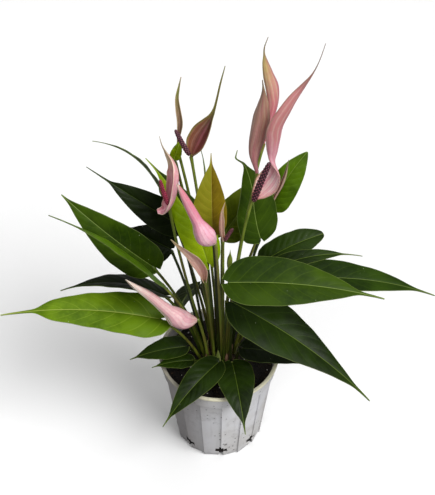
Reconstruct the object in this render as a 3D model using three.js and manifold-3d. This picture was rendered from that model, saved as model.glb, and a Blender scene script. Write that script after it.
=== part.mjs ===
// Potted anthurium in a ribbed nursery pot. Millimetres, +Z up.
// Origin: centre of the pot's underside. +X is the plant's right, -Y its front.
import * as THREE from "three";
import * as BufferGeometryUtils from "three/addons/utils/BufferGeometryUtils.js";
import Module from "manifold-3d";

// ---- Pot ----
const POT_HEIGHT = 117;
const POT_RIM_R = 60;
const POT_BASE_R = 45.5;
const POT_WALL = 1.6;
const POT_FLOOR = 2.5;
const COLLAR_H = 17;
const COLLAR_PROUD = 0.9;
const LIP_H = 3;
const LIP_OUT = 1.6;
const LIP_EDGE = 0.8;
const WALL_SLOPE = (POT_RIM_R - LIP_OUT - COLLAR_PROUD - POT_BASE_R) / POT_HEIGHT;
const ROUND_SIDES = 64;
const FACETS = 16;
const FACET_STEP = 1;
const FACET_TURN_DEG = 3;
const INSIDE_BASE_R = POT_BASE_R - POT_WALL - FACET_STEP;
const SLOTS = 8;
const SLOT_WIDE = 12;
const SLOT_HIGH = 5;
const SLOT_Z = 10;
const SLOT_NOTCH_W = 3.5;
const SLOT_NOTCH_TOP = 15;
const SLOT_DEEP = 14;

// ---- Soil and crown ----
const SOIL_DROP = 10;
const SOIL_DOME = 2;
const SOIL_GAP = 0.4;
const SOIL_SIDES = 40;
const SOIL_FLAT_R = 30;
const CROWN_R = 21;
const CROWN_H = 7;
const CROWN_SIDES = 20;
const STEM_LIFT = 1;
const STEM_Z = POT_HEIGHT + STEM_LIFT;

// ---- Foliage ----
const BLADE_T = 1.2;
const PETIOLE_R = 1.4;
const PETIOLE_BEND = 0.35;
const PETIOLE_STEPS = 6;
const STALK_R = 1.4;
const STALK_STEPS = 7;
const STEM_RISE = 0.6;
const STALK_GAP = 1.5;
const SPADIX_START = 4;
const SPADIX_SIDES = 8;
const SPADIX_PROFILE = [[0, 0], [0.5, 0], [0.9, 0.12], [1, 0.5], [0.75, 0.85], [0, 1]];
const SPATHE_T = 1;
const CLEAR = 0.4;

// Where the half width of a leaf sits along its length, as shares of the widest.
const LEAF_STATIONS = [0, 0.07, 0.18, 0.32, 0.5, 0.68, 0.84, 1];
const LEAF_SHARES = [0.5, 0.82, 0.98, 1, 0.84, 0.66, 0.4, 0.05];
const DRIP_SHARE = 0.02;
const LOBE_REACH = 0.45;
const LOBE_POWER = 1.3;
const LEAF_ACROSS = [-1, -0.5, 0, 0.5, 1];

// Heights of the foliage are counted from the pot's rim.
// root: where the petiole leaves the crown. base, tip: ends of the midrib.
// Leaf 23 hangs beside the pot, so its tip is placed from the rim.
// face: the way the upper side looks. arch, sway: bow of the midrib out of and in the blade.
// fold: lift of the two halves. curl: fall of the margins. lobe: length of the basal lobes.
// drip: share of the length taken by the thin drip tip. tone: key of LEAF_TONES, dark if left out.
const LEAF_TONES = { dark: 0x1c3a10, mid: 0x47721a, lime: 0x86a318, bronze: 0x7f7c1c };
const LEAVES = [
  { id: "01", root: [-8, 14], base: [-55, 50, 177], tip: [-115, 72, 214], face: [-3, 5, 6],
    wide: 18, arch: 10, sway: 0, fold: 0.3, curl: 0.2, lobe: 0.03, drip: 0.12, tone: "mid" },
  { id: "02", root: [-14, 11], base: [-38, 37, 142], tip: [-119, 46, 206], face: [-1, -6, 6],
    wide: 30, arch: 6, sway: 0, fold: 0.3, curl: 0.2, lobe: 0.1, drip: 0.22 },
  { id: "03", root: [-15, 3], base: [-63, 12, 113], tip: [-139, 16, 200], face: [0, -8, 5],
    wide: 40, arch: 8, sway: 0, fold: 0.3, curl: 0.2, lobe: 0.08, drip: 0.06 },
  { id: "04", root: [-15, -3], base: [-53, -22, 126], tip: [-142, -35, 224], face: [5, 5, 7],
    wide: 40, arch: 6, sway: 0, fold: 0.05, curl: 0.1, lobe: 0.06, drip: 0.2, tone: "mid" },
  { id: "05", root: [-17, 10], base: [-46, 34, 113], tip: [-90, 46, 132], face: [0, -7, 7],
    wide: 36, arch: 5, sway: 0, fold: 0.3, curl: 0.2, lobe: 0.06, drip: 0.12 },
  { id: "06", root: [-19, 2], base: [-51, 0, 84], tip: [-146, -15, 108], face: [0, 4, 9],
    wide: 40, arch: 11, sway: 0, fold: 0.3, curl: 0.2, lobe: 0.06, drip: 0.12 },
  { id: "07", root: [-19, -8], base: [-57, -20, 74], tip: [-203, -25, 85], face: [0, -2, 10],
    wide: 46, arch: 14, sway: 0, fold: 0.2, curl: 0.2, lobe: 0.1, drip: 0.2, tone: "lime" },
  { id: "08", root: [-20, -5], base: [-34, -8, 18], tip: [-88, -14, 5], face: [0, -1, 10],
    wide: 26, arch: 4, sway: 0, fold: 0.3, curl: 0.2, lobe: 0.1, drip: 0.12 },
  { id: "09", root: [-2, -16], base: [-1, -24, 13], tip: [-54, -80, -15], face: [0, -3, 10],
    wide: 29, arch: 12, sway: 0, fold: 0.3, curl: 0.2, lobe: 0.06, drip: 0.12 },
  { id: "10", root: [11, -17], base: [13, -20, 7], tip: [25, -90, -13], face: [0, -3, 10],
    wide: 36, arch: 12, sway: 0, fold: 0.3, curl: 0.2, lobe: 0.05, drip: 0.12 },
  { id: "11", root: [11, -12], base: [13, -20, 97], tip: [142, -72, 16], face: [2, -2, 10],
    wide: 56, arch: 12, sway: 0, fold: 0.25, curl: 0.2, lobe: 0.05, drip: 0.12 },
  { id: "12", root: [4, -13], base: [9, -26, 131], tip: [149, -34, 118], face: [0, -2, 10],
    wide: 52, arch: 10, sway: 0, fold: 0.3, curl: 0.2, lobe: 0.05, drip: 0.15 },
  { id: "13", root: [17, 4], base: [63, 15, 90], tip: [207, 10, 73], face: [0, 0, 10],
    wide: 42, arch: 12, sway: 0, fold: 0.3, curl: 0.2, lobe: 0.06, drip: 0.12 },
  { id: "14", root: [18, -5], base: [24, -6, 13], tip: [100, -28, 11], face: [0, 0, 10],
    wide: 34, arch: 6, sway: 0, fold: 0.3, curl: 0.2, lobe: 0.06, drip: 0.12 },
  { id: "15", root: [12, 16], base: [42, 46, 82], tip: [102, 66, 101], face: [0, -3, 10],
    wide: 32, arch: 6, sway: 0, fold: 0.3, curl: 0.2, lobe: 0.06, drip: 0.12 },
  { id: "16", root: [6, 19], base: [50, 64, 139], tip: [82, 84, 191], face: [-1, -8, 3],
    wide: 30, arch: 4, sway: -3, fold: 0.3, curl: 0.2, lobe: 0.06, drip: 0.02, tone: "mid" },
  { id: "17", root: [13, 8], base: [38, 25, 137], tip: [16, 50, 221], face: [4, -8, 3],
    wide: 44, arch: 2, sway: 0, fold: 0.2, curl: 0.2, lobe: 0.06, drip: 0.12 },
  { id: "18", root: [2, 11], base: [3, 32, 132], tip: [45, 70, 178], face: [0, -8, 3],
    wide: 38, arch: 0, sway: 0, fold: 0.1, curl: 0.2, lobe: 0.06, drip: 0.05, tone: "mid" },
  { id: "19", root: [15, 1], base: [46, 15, 104], tip: [136, 30, 107], face: [0, -2, 10],
    wide: 28, arch: 10, sway: 0, fold: 0.3, curl: 0.2, lobe: 0.05, drip: 0.12 },
  { id: "20", root: [0, -3], base: [-6, -5, 179], tip: [-7, 22, 243], face: [0, -8, 3],
    wide: 26, arch: 4, sway: 0, fold: 0.3, curl: 0.2, lobe: 0.1, drip: 0.12, tone: "bronze" },
  { id: "21", root: [-17, -14], base: [-27, -19, 10], tip: [-66, -24, 5], face: [0, 0, 10],
    wide: 18, arch: 3, sway: 0, fold: 0.2, curl: 0.2, lobe: 0.1, drip: 0.12 },
  { id: "22", root: [-1, 17], base: [-15, 36, 175], tip: [-16, 46, 225], face: [-8, 0, 2],
    wide: 12, arch: -3, sway: 0, fold: 0.3, curl: 0.2, lobe: 0.06, drip: 0.12, tone: "bronze" },
  { id: "23", root: [-6, 20], base: [-19, 40, 55], tip: [15 - POT_RIM_R, POT_RIM_R - 5, -19],
    face: [0, 4, 8],
    wide: 30, arch: 8, sway: 0, fold: 0.3, curl: 0.2, lobe: 0.1, drip: 0.12 },
  { id: "24", root: [-4, 2], base: [-11, 0, 131], tip: [-66, 52, 211], face: [-1, -8, 3],
    wide: 34, arch: 4, sway: 9, fold: 0.2, curl: 0.2, lobe: 0.07, drip: 0.12, tone: "lime" },
  { id: "25", root: [-7, 10], base: [-40, 46, 216], tip: [-33, 49, 238], face: [0, -8, 3],
    wide: 10, arch: 1, sway: 0, fold: 0.2, curl: 0.1, lobe: 0.1, drip: 0.12, tone: "lime" },
];

// Rows of a spathe between two stations of its profile, and places across it.
const SPATHE_PER_STATION = 2;
const SPATHE_ACROSS = [-1, -0.67, -0.33, 0, 0.33, 0.67, 1];
const TAIL_HALF = 1;

// root: where the stalk leaves the crown. bend: how soon the stalk leans, 0 late to 1 early.
// line: points the spathe runs through, from its foot to its own tip.
// profile: share of the length, half the width if flattened, degrees each half turns round.
// face: the way the spathe opens. turn: a second way, reached between two shares of the length.
// seat: 1 where the line lies on the sheet, 0 where the sheet rolls about it.
// left, right: how far each half reaches, 1 if left out. tone: key of SPATHE_TONES.
// spadix: its foot and tip. spadixR: its radius. joint: top of the stalk, if not the foot.
const SPATHE_TONES = { pink: 0xe6a6b8, mauve: 0xb27a78, olive: 0x8a7a45, peach: 0xdcaa9a };
const FLOWERS = [
  { id: "1", root: [8, -5], bend: 0.1, face: [-3, -9, 3], seat: 1, tone: "pink",
    line: [[30, 9, 202], [40, 16, 213], [47.5, 20, 226], [48, 22, 238], [49.5, 25, 252], [52, 29, 265],
      [58, 33, 277], [63.5, 37, 287], [70.5, 41, 298], [77, 43, 310], [82, 44.5, 323], [86, 46, 339]],
    profile: [[0, 4, 110], [0.05, 11, 85], [0.12, 15, 74], [0.18, 13.5, 80], [0.245, 5.5, 100],
      [0.33, 9, 90], [0.43, 11.5, 80], [0.54, 10, 80], [0.65, 7, 80], [0.74, 3.6, 75], [0.81, 1.2, 70],
      [0.86, 0.6, 60], [1, 0.25, 60]],
    left: 1.05, right: 0.72, turn: { face: [-7, 9, 3], start: 0.2, end: 0.3 },
    spadix: [[30, 4, 204], [43, 7, 246]], spadixR: 3 },
  { id: "2", root: [8, 7], bend: 0.2, face: [-3, 8, 0], seat: 1, tone: "mauve",
    line: [[40, 64, 217], [45, 70, 234], [49, 77, 250], [48.5, 83, 262], [44, 89, 274], [40, 93, 288],
      [39, 95, 299], [42, 96.5, 310]],
    profile: [[0, 3.5, 150], [0.12, 5, 130], [0.25, 7, 100], [0.38, 8, 85], [0.5, 9, 78],
      [0.62, 7, 75], [0.75, 3.6, 70], [0.84, 0.9, 60], [1, 0.25, 60]],
    left: 0.85, right: 1.2 },
  { id: "3", root: [9, 1], bend: 0.2, face: [3, 8, 0], seat: 1, tone: "mauve",
    line: [[33, 27, 214], [29, 30, 232], [31.5, 34, 251], [34.5, 39, 267], [36.5, 43, 279],
      [37, 46, 290], [36, 48, 301]],
    profile: [[0, 3, 150], [0.1, 5, 130], [0.22, 8.5, 105], [0.4, 10.6, 88], [0.58, 10.6, 80],
      [0.72, 7.4, 78], [0.85, 2.6, 70], [0.93, 0.8, 60], [1, 0.25, 60]] },
  { id: "4", root: [-12, 7], bend: 0.75, face: [-8, -3, 3], seat: 1, tone: "pink",
    line: [[-55, 15, 179], [-47, 17, 180], [-40, 20, 191], [-36.5, 23, 208], [-36.5, 27, 218],
      [-40, 31, 226], [-46, 35, 233], [-49.5, 38, 238], [-52, 42, 245]],
    profile: [[0, 3.5, 90], [0.07, 7, 90], [0.18, 10, 100], [0.3, 10.5, 105], [0.45, 11.5, 100],
      [0.57, 11.5, 95], [0.68, 7.5, 85], [0.78, 4, 80], [0.86, 1.4, 70], [1, 0.25, 60]],
    spadix: [[-45.5, 15, 189], [-51.5, 16, 218]], spadixR: 2, joint: [-44, 16, 181.5] },
  { id: "5", root: [3, -8], bend: 0.35, face: [-7, -6, 3], seat: 0.2, tone: "pink",
    line: [[-4, -24, 180], [-13, -23, 194], [-25, -18, 219], [-35, -12, 238]],
    profile: [[0, 6, 160], [0.08, 20, 172], [0.17, 27, 174], [0.28, 23, 175], [0.42, 14, 175],
      [0.6, 12, 175], [0.8, 9, 170], [1, 2, 150]] },
  { id: "6", root: [-4, 8], bend: 0.35, face: [-6, -8, 5], seat: 0.9, tone: "olive",
    line: [[-24, 38, 226], [-19, 41, 237], [-14, 45, 247], [-9, 49, 255], [-5, 52, 263], [-2, 56, 274],
      [1, 61, 287], [5, 66, 302]],
    profile: [[0, 3.5, 130], [0.07, 9, 95], [0.16, 12, 72], [0.27, 11, 66], [0.38, 7, 66],
      [0.47, 3.2, 70], [0.58, 1.3, 60], [0.8, 0.9, 60], [1, 0.25, 60]],
    left: 1.15, right: 1, spadix: [[-26, 35.5, 229], [-38, 40, 254]], spadixR: 2.2 },
  { id: "7", root: [-4, 13], bend: 0.35, face: [2, -8, 3], seat: 0.8, tone: "olive",
    line: [[-37, 54, 222], [-36, 58, 233], [-35, 62, 244], [-36.5, 67, 256], [-37, 70, 265],
      [-35, 73, 275], [-33, 76, 283]],
    profile: [[0, 2, 140], [0.15, 2.8, 120], [0.35, 4.4, 105], [0.5, 3.9, 100], [0.65, 2.7, 90],
      [0.78, 1.7, 80], [0.9, 0.7, 60], [1, 0.25, 60]] },
  { id: "8", root: [-5, -7], bend: 0.35, face: [0, -8, 3], seat: 0.8, tone: "peach",
    line: [[-13, -14, 120], [-15, -14, 135], [-21, -15, 149], [-28, -17, 160], [-36, -19, 171],
      [-42, -21, 181]],
    profile: [[0, 3.5, 140], [0.12, 6, 115], [0.24, 7.5, 100], [0.43, 7.5, 90], [0.62, 4.4, 85],
      [0.82, 2, 70], [0.93, 0.8, 60], [1, 0.25, 60]] },
  { id: "9", root: [-11, -10], bend: 0.35, face: [2, -9, -1], seat: 0.2, tone: "peach",
    line: [[-21, -22, 75], [-29, -23, 77], [-38, -24, 83], [-47, -27, 96], [-56, -30, 111],
      [-64, -33, 124], [-74, -37, 138], [-82, -40, 150]],
    profile: [[0, 5, 160], [0.05, 17, 170], [0.12, 27, 174], [0.2, 28, 175], [0.34, 18, 175],
      [0.5, 14, 175], [0.69, 11, 170], [0.86, 6, 150], [0.96, 2, 120], [1, 0.5, 90]] },
  { id: "10", root: [4, 0], bend: 0.35, face: [8, -5, 3], seat: 0.8, tone: "peach",
    line: [[3, -12, 171], [1, -12, 183], [1, -11, 194], [2, -10, 204], [5, -8, 213]],
    profile: [[0, 3, 140], [0.2, 4.4, 115], [0.45, 4.6, 105], [0.7, 3, 95], [0.88, 1.2, 80],
      [1, 0.25, 60]],
    spadix: [[5, -13, 172], [12, -11, 185]], spadixR: 1.7 },
  { id: "11", root: [13, 12], bend: 0.35, face: [-8, -2, 3], seat: 0.8, tone: "mauve",
    line: [[50, 47, 162], [54, 49, 171], [58, 51, 179], [61, 54, 189], [62, 57, 196], [63, 60, 202]],
    profile: [[0, 2, 140], [0.2, 3, 120], [0.5, 3.6, 110], [0.75, 2.4, 90], [0.92, 0.8, 60],
      [1, 0.25, 60]] },
];

// ---- Helpers ----
const wasm = await Module();
wasm.setup();

const rad = (deg) => (deg * Math.PI) / 180;
const vec = (a) => new THREE.Vector3(a[0], a[1], a[2]);
/** A point of the foliage, its height counted from the pot's rim. */
const above = (a) => new THREE.Vector3(a[0], a[1], a[2] + POT_HEIGHT);

/** Reads a value off a polyline given by stations and values. */
function along(stations, values, t) {
  let k = 1;
  while (k < stations.length - 1 && t > stations[k]) k += 1;
  const u = (t - stations[k - 1]) / (stations[k] - stations[k - 1]);
  return values[k - 1] + (values[k] - values[k - 1]) * Math.min(1, Math.max(0, u));
}

/** Makes an indexed geometry out of points and triangles. */
function surface(points, faces) {
  const geometry = new THREE.BufferGeometry();
  const flat = points.flatMap((p) => [p.x, p.y, p.z]);
  geometry.setAttribute("position", new THREE.Float32BufferAttribute(flat, 3));
  geometry.setIndex(faces);
  return geometry;
}

/** Thickens an open grid of points into a closed sheet. */
function sheet(grid, thick) {
  const rows = grid.length;
  const cols = grid[0].length;
  const top = [];
  const bottom = [];
  for (let i = 0; i < rows; i += 1) {
    for (let j = 0; j < cols; j += 1) {
      const du = grid[Math.min(i + 1, rows - 1)][j].clone().sub(grid[Math.max(i - 1, 0)][j]);
      const dv = grid[i][Math.min(j + 1, cols - 1)].clone().sub(grid[i][Math.max(j - 1, 0)]);
      const n = du.cross(dv).normalize().multiplyScalar(thick / 2);
      top.push(grid[i][j].clone().add(n));
      bottom.push(grid[i][j].clone().sub(n));
    }
  }
  const at = (i, j) => i * cols + j;
  const under = rows * cols;
  const faces = [];
  const quad = (a, b, c, d) => faces.push(a, b, c, a, c, d);
  for (let i = 0; i < rows - 1; i += 1) {
    for (let j = 0; j < cols - 1; j += 1) {
      quad(at(i, j), at(i + 1, j), at(i + 1, j + 1), at(i, j + 1));
      quad(under + at(i, j), under + at(i, j + 1), under + at(i + 1, j + 1), under + at(i + 1, j));
    }
    quad(at(i, 0), under + at(i, 0), under + at(i + 1, 0), at(i + 1, 0));
    quad(at(i + 1, cols - 1), under + at(i + 1, cols - 1), under + at(i, cols - 1), at(i, cols - 1));
  }
  for (let j = 0; j < cols - 1; j += 1) {
    quad(at(0, j + 1), under + at(0, j + 1), under + at(0, j), at(0, j));
    quad(at(rows - 1, j), under + at(rows - 1, j), under + at(rows - 1, j + 1), at(rows - 1, j + 1));
  }
  return surface([...top, ...bottom], faces);
}

/** Extrudes a round section along a curve. */
function tube(path, radius, steps) {
  const section = new THREE.Shape();
  section.absarc(0, 0, radius, 0, 2 * Math.PI);
  const options = { steps, extrudePath: path, curveSegments: 3, bevelEnabled: false };
  return new THREE.ExtrudeGeometry(section, options);
}

/** Turns a solid of revolution out of a closed profile of [radius, height]. */
function turned(profile, segments) {
  const points = profile.map(([r, z]) => new THREE.Vector2(r, z));
  const geometry = new THREE.LatheGeometry(points, segments);
  geometry.rotateX(Math.PI / 2);
  return geometry;
}

/** Makes a manifold solid out of a geometry. */
function solid(geometry) {
  const bare = geometry.clone();
  bare.deleteAttribute("normal");
  bare.deleteAttribute("uv");
  const merged = BufferGeometryUtils.mergeVertices(bare, 1e-4);
  return new wasm.Manifold(
    new wasm.Mesh({
      numProp: 3,
      vertProperties: new Float32Array(merged.attributes.position.array),
      triVerts: new Uint32Array(merged.index.array),
    }),
  );
}

/** Makes a geometry out of a manifold solid. */
function meshed(body) {
  const mesh = body.getMesh();
  const geometry = new THREE.BufferGeometry();
  geometry.setAttribute("position", new THREE.BufferAttribute(mesh.vertProperties, 3));
  geometry.setIndex(new THREE.BufferAttribute(mesh.triVerts, 1));
  return geometry;
}

/** Adds a named mesh with its own material and returns it. */
function place(group, name, geometry, colour, roughness) {
  geometry.computeVertexNormals();
  const material = new THREE.MeshStandardMaterial({ color: colour, roughness });
  const mesh = new THREE.Mesh(geometry, material);
  mesh.name = name;
  group.add(mesh);
  return mesh;
}

/** Path of a petiole or stalk from the crown up to its end. */
function stemPath(root, end, bend) {
  const start = new THREE.Vector3(root[0], root[1], STEM_Z);
  const control = start.clone().lerp(end, bend);
  control.z = STEM_Z + (end.z - STEM_Z) * STEM_RISE;
  return new THREE.QuadraticBezierCurve3(start, control, end);
}

/** Frame of a blade: the way along it, its facing normal and its side. */
function frame(base, tip, face) {
  const way = tip.clone().sub(base);
  const length = way.length();
  way.normalize();
  const normal = vec(face);
  normal.addScaledVector(way, -normal.dot(way)).normalize();
  return { way, length, normal, side: way.clone().cross(normal) };
}

// ---- Pot ----
/** Outer wall with flat panels, each starting proud and ending flush. */
function panels(zLow, zHigh) {
  const ring = (z) => {
    const r = POT_BASE_R + WALL_SLOPE * z;
    const points = [];
    for (let k = 0; k < FACETS; k += 1) {
      const a = rad(FACET_TURN_DEG - 90 + (360 * k) / FACETS);
      points.push(new THREE.Vector3((r - FACET_STEP) * Math.cos(a), (r - FACET_STEP) * Math.sin(a), z));
      points.push(new THREE.Vector3(r * Math.cos(a), r * Math.sin(a), z));
    }
    return points;
  };
  const low = ring(zLow);
  const high = ring(zHigh);
  const n = low.length;
  const points = [...low, ...high, new THREE.Vector3(0, 0, zLow), new THREE.Vector3(0, 0, zHigh)];
  const faces = [];
  for (let k = 0; k < n; k += 1) {
    const m = (k + 1) % n;
    faces.push(k, m, n + m, k, n + m, n + k);
    faces.push(2 * n, m, k);
    faces.push(2 * n + 1, n + k, n + m);
  }
  return surface(points, faces);
}

/** Pot: ribbed wall, collar, lip, hollow inside and drainage slots. */
function pot() {
  const collarZ = POT_HEIGHT - COLLAR_H;
  const lipZ = POT_HEIGHT - LIP_H;
  const collarR = POT_BASE_R + WALL_SLOPE * collarZ + COLLAR_PROUD;
  const collar = turned([
    [0, collarZ],
    [collarR, collarZ],
    [POT_RIM_R - LIP_OUT, lipZ],
    [POT_RIM_R, lipZ + LIP_EDGE],
    [POT_RIM_R, POT_HEIGHT - LIP_EDGE],
    [POT_RIM_R - LIP_EDGE, POT_HEIGHT],
    [0, POT_HEIGHT],
  ], ROUND_SIDES);
  const mouthR = POT_RIM_R - LIP_OUT - COLLAR_PROUD - POT_WALL;
  const inside = turned([
    [0, POT_FLOOR],
    [INSIDE_BASE_R, POT_FLOOR],
    [mouthR, POT_HEIGHT],
    [mouthR, POT_HEIGHT + LIP_H],
    [0, POT_HEIGHT + LIP_H],
  ], ROUND_SIDES);
  let body = solid(panels(0, collarZ + 1)).add(solid(collar)).subtract(solid(inside));
  for (let k = 0; k < SLOTS; k += 1) {
    const turn = new THREE.Matrix4().makeRotationZ(rad(FACET_TURN_DEG + (360 * k) / SLOTS));
    const wide = new THREE.BoxGeometry(SLOT_WIDE, SLOT_DEEP, SLOT_HIGH);
    wide.translate(0, -POT_BASE_R, SLOT_Z);
    const notch = new THREE.BoxGeometry(SLOT_NOTCH_W, SLOT_DEEP, 2 * SLOT_NOTCH_TOP);
    notch.translate(0, -POT_BASE_R, 0);
    for (const cut of [wide, notch]) {
      cut.applyMatrix4(turn);
      body = body.subtract(solid(cut));
    }
  }
  return meshed(body);
}

/** Soil filling the pot with a low dome on top. */
function soil() {
  const bottom = POT_FLOOR + SOIL_GAP;
  const top = POT_HEIGHT - SOIL_DROP;
  const mouthR = POT_RIM_R - LIP_OUT - COLLAR_PROUD - POT_WALL;
  const slope = (mouthR - INSIDE_BASE_R) / (POT_HEIGHT - POT_FLOOR);
  const low = INSIDE_BASE_R - SOIL_GAP;
  return turned([
    [0, bottom],
    [low, bottom],
    [low + slope * (top - SOIL_DOME - bottom), top - SOIL_DOME],
    [SOIL_FLAT_R, top - SOIL_DOME / 3],
    [0, top],
  ], SOIL_SIDES);
}

/** Crown: the short stump the stems rise from. */
function crown() {
  const low = POT_HEIGHT - SOIL_DROP + CLEAR;
  return turned([
    [0, low],
    [CROWN_R, low],
    [CROWN_R * 0.95, low + CROWN_H * 0.5],
    [CROWN_R * 0.76, low + CROWN_H],
    [0, low + CROWN_H * 1.2],
  ], CROWN_SIDES);
}

// ---- Leaves ----
/** Grid of the middle surface of a leaf blade. */
function bladeGrid(leaf) {
  const base = above(leaf.base);
  const tip = above(leaf.tip);
  const { way, length, normal, side } = frame(base, tip, leaf.face);
  const control = base.clone().lerp(tip, 0.5);
  control.addScaledVector(normal, 2 * leaf.arch).addScaledVector(side, 2 * leaf.sway);
  const midrib = new THREE.QuadraticBezierCurve3(base, control, tip);
  const stations = [...LEAF_STATIONS.map((t) => t * (1 - leaf.drip)), 1];
  const shares = [...LEAF_SHARES, DRIP_SHARE];
  return stations.map((t, i) => {
    const half = (leaf.wide / 2) * shares[i];
    const back = leaf.lobe * length * Math.max(0, 1 - t / LOBE_REACH) ** 2;
    return LEAF_ACROSS.map((s) => {
      const a = Math.abs(s);
      const lift = half * (leaf.fold * a - leaf.curl * a * a);
      const p = midrib.getPoint(t);
      p.addScaledVector(side, -s * half);
      p.addScaledVector(normal, lift);
      return p.addScaledVector(way, -back * a ** LOBE_POWER);
    });
  });
}

/** Blade and petiole of one leaf as one solid. */
function leafSolid(leaf) {
  const blade = solid(sheet(bladeGrid(leaf), BLADE_T));
  const path = stemPath(leaf.root, above(leaf.base), PETIOLE_BEND);
  return meshed(blade.add(solid(tube(path, PETIOLE_R, PETIOLE_STEPS))));
}

// ---- Flowers ----
/** Shares of the length where the rows of a spathe lie. */
function spatheRows(stations) {
  const rows = [0];
  for (let i = 1; i < stations.length; i++) {
    const step = (stations[i] - stations[i - 1]) / SPATHE_PER_STATION;
    for (let k = 1; k <= SPATHE_PER_STATION; k++) rows.push(stations[i - 1] + k * step);
  }
  return rows;
}

/** The way a spathe opens at a share of its length. */
function opening(flower, t) {
  const face = vec(flower.face).normalize();
  if (!flower.turn) return face;
  const { start, end } = flower.turn;
  const gain = THREE.MathUtils.clamp((t - start) / (end - start), 0, 1);
  return face.lerp(vec(flower.turn.face).normalize(), gain);
}

/** Grid of the middle surface of a spathe. */
function spatheGrid(flower, line) {
  const [stations, girths, wraps] = [0, 1, 2].map((k) => flower.profile.map((row) => row[k]));
  const { left = 1, right = 1 } = flower;
  return spatheRows(stations).map((t) => {
    const wrap = rad(along(stations, wraps, t));
    const r = Math.max(TAIL_HALF, along(stations, girths, t)) / wrap;
    const way = line.getTangentAt(t);
    const face = opening(flower, t);
    const out = face.addScaledVector(way, -face.dot(way)).normalize();
    const side = way.clone().cross(out);
    const centre = line.getPointAt(t).addScaledVector(out, flower.seat * r);
    return SPATHE_ACROSS.map((s) => {
      const angle = wrap * s * (s < 0 ? left : right);
      const p = centre.clone().addScaledVector(out, -r * Math.cos(angle));
      return p.addScaledVector(side, -r * Math.sin(angle));
    });
  });
}

/** Spadix: a blunt spike turned about its own axis, which starts at the origin along +Z. */
function spadixGeometry(length, radius) {
  const profile = SPADIX_PROFILE.map(([r, z]) => [r * radius, z * length]);
  return turned(profile, SPADIX_SIDES);
}

/** Adds the spathe, stalk and, where it shows, the spadix of one flower. */
function addFlower(group, flower) {
  const name = `flower_${flower.id}`;
  const line = new THREE.CatmullRomCurve3(flower.line.map(above), false, "catmullrom", 0.5);
  const heading = flower.joint ? new THREE.Vector3(0, 0, 1) : line.getTangentAt(0);
  const end = above(flower.joint ?? flower.line[0]).addScaledVector(heading, -STALK_GAP);
  const path = stemPath(flower.root, end, flower.bend);
  const tone = SPATHE_TONES[flower.tone];
  place(group, `${name}_spathe`, sheet(spatheGrid(flower, line), SPATHE_T), tone, 0.5);
  place(group, `${name}_stalk`, tube(path, STALK_R, STALK_STEPS), 0x5f7a26, 0.5);
  if (!flower.spadix) return;
  const [base, tip] = flower.spadix.map(above);
  const lean = tip.sub(base);
  const length = lean.length() - SPADIX_START;
  lean.normalize();
  const spike = place(group, `${name}_spadix`, spadixGeometry(length, flower.spadixR), 0x7c3346, 0.7);
  spike.position.copy(base).addScaledVector(lean, SPADIX_START);
  spike.quaternion.setFromUnitVectors(new THREE.Vector3(0, 0, 1), lean);
}

/** The whole plant in its pot. */
function plant() {
  const group = new THREE.Group();
  group.name = "potted_anthurium";
  place(group, "pot", pot(), 0xe8e8e6, 0.5);
  place(group, "soil", soil(), 0x1d1712, 0.95);
  place(group, "crown", crown(), 0x5a4a32, 0.8);
  for (const leaf of LEAVES) {
    const tone = LEAF_TONES[leaf.tone ?? "dark"];
    place(group, `leaf_${leaf.id}`, leafSolid(leaf), tone, 0.35);
  }
  for (const flower of FLOWERS) addFlower(group, flower);
  return group;
}

export default plant();
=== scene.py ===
"""Potted anthurium: glossy pointed leaves and furled pink flowers in a ribbed white nursery pot."""
import logging
import math
from dataclasses import dataclass
from enum import Enum

import bpy
import numpy as np
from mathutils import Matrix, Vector, noise


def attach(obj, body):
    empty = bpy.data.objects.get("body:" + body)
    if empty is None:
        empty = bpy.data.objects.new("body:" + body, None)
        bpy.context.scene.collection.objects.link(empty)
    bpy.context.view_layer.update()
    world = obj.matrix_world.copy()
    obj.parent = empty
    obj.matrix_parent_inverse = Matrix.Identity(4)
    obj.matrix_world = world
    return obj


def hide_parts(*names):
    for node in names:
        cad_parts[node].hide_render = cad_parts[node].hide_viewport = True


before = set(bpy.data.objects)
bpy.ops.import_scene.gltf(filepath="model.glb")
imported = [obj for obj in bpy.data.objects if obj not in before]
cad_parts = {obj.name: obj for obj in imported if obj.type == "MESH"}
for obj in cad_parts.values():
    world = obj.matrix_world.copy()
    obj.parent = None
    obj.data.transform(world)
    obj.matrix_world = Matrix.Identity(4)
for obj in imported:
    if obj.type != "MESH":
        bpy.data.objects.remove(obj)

MM = 0.001
Point = tuple[float, float, float]
Values = tuple[float, ...]
Socket = bpy.types.NodeSocket
Reading = Socket | float | str | tuple
LOG = logging.getLogger("anthurium")

STEM_Z = 112.0
CAD_STEM_Z = 118.0
STEM_RISE = 0.6
FOOT_PULL = 0.93
FOOT_DEPTH = 6.0


# ---- Small maths ----
def unit(v: np.ndarray) -> np.ndarray:
    """Return v scaled to length one."""
    return v / np.linalg.norm(v)


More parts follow.
